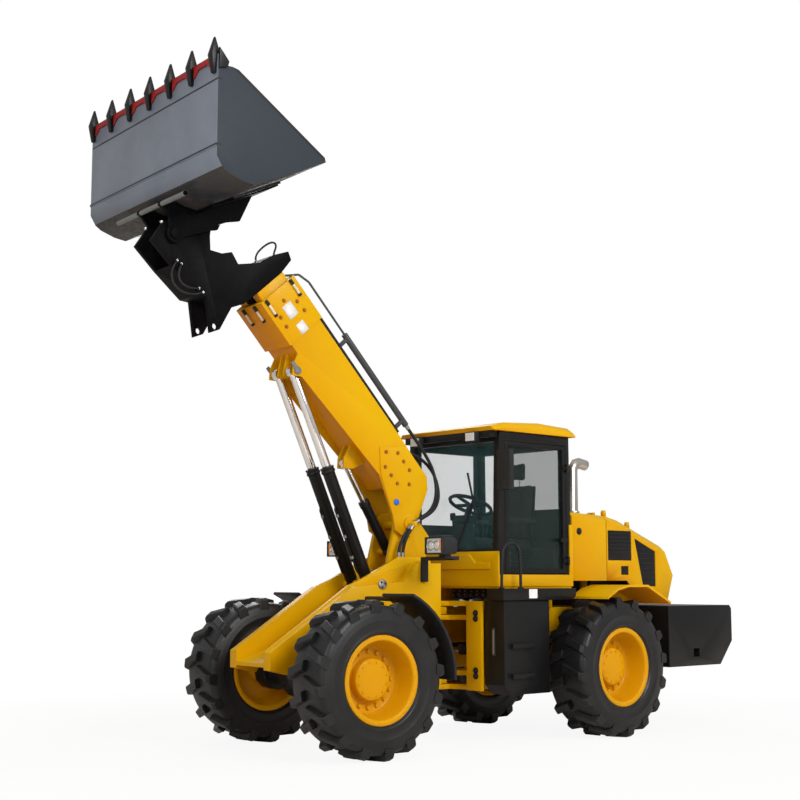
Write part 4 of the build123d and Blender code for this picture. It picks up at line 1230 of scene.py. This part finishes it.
def floorFinish(settings):
    # white to the camera, with a faint shadow close to the machine
    finish = Finish("floorPaper", (settings["floorTone"],) * 3, 0.9)
    finish.set("Specular IOR Level", 0.0)
    x, y = finish.axis("X"), finish.axis("Y")
    reach = (x * x + y * y) ** 0.5
    away = finish.ramp((reach - settings["near"]) * (1.0 / (settings["far"] - settings["near"])), 0.0, 1.0)
    seen = finish.source("ShaderNodeLightPath", "Is Camera Ray")
    white = finish.node("ShaderNodeEmission")
    blend = finish.node("ShaderNodeMixShader")
    finish.feed(blend.inputs[0], seen * (1.0 - (1.0 - away) * settings["shadow"]))
    finish.tree.links.new(finish.shader.outputs[0], blend.inputs[1])
    finish.tree.links.new(white.outputs[0], blend.inputs[2])
    finish.tree.links.new(blend.outputs[0], finish.tree.nodes["Material Output"].inputs["Surface"])
    return finish.material


def makeWorld(settings):
    world = bpy.data.worlds.new("studioWorld")
    bpy.context.scene.world = world
    world.use_nodes = True
    tree = world.node_tree
    tree.nodes.clear()
    path = tree.nodes.new("ShaderNodeLightPath")
    white = (1.0, 1.0, 1.0)
    grounds = []
    for colour, strength in ((settings["skyColour"], settings["sky"]), (white, settings["gloss"]),
                             (white, 1.0)):
        ground = tree.nodes.new("ShaderNodeBackground")
        ground.inputs["Color"].default_value = (*colour, 1.0)
        ground.inputs["Strength"].default_value = strength
        grounds.append(ground.outputs[0])
    result, mirrored, plain = grounds
    for ray, ground in (("Is Glossy Ray", mirrored), ("Is Transmission Ray", plain),
                        ("Is Camera Ray", plain)):
        blend = tree.nodes.new("ShaderNodeMixShader")
        tree.links.new(path.outputs[ray], blend.inputs[0])
        tree.links.new(result, blend.inputs[1])
        tree.links.new(ground, blend.inputs[2])
        result = blend.outputs[0]
    out = tree.nodes.new("ShaderNodeOutputWorld")
    tree.links.new(result, out.inputs["Surface"])


def makeStudio(settings):
    scene = bpy.context.scene
    scene.view_settings.view_transform = "Standard"
    half = settings["floor"]
    mesh = bpy.data.meshes.new("floor")
    corners = [(-half, -half, 0), (half, -half, 0), (half, half, 0), (-half, half, 0)]
    mesh.from_pydata(corners, [], [(0, 1, 2, 3)])
    floor = placed("floor", mesh)
    mesh.materials.append(floorFinish(settings))
    makeWorld(settings)
    for name, power, size, place in settings["lamps"]:
        data = bpy.data.lights.new(name, "AREA")
        data.energy = power
        data.size = size
        lamp = placed(name, data)
        lamp.location = place
        lamp.visible_glossy = name != settings["unmirrored"]
        lamp.rotation_mode = "QUATERNION"
        lamp.rotation_quaternion = (Vector(settings["aim"]) - Vector(place)).to_track_quat("-Z", "Y")


makeStudio(studio)
print("studio ready")
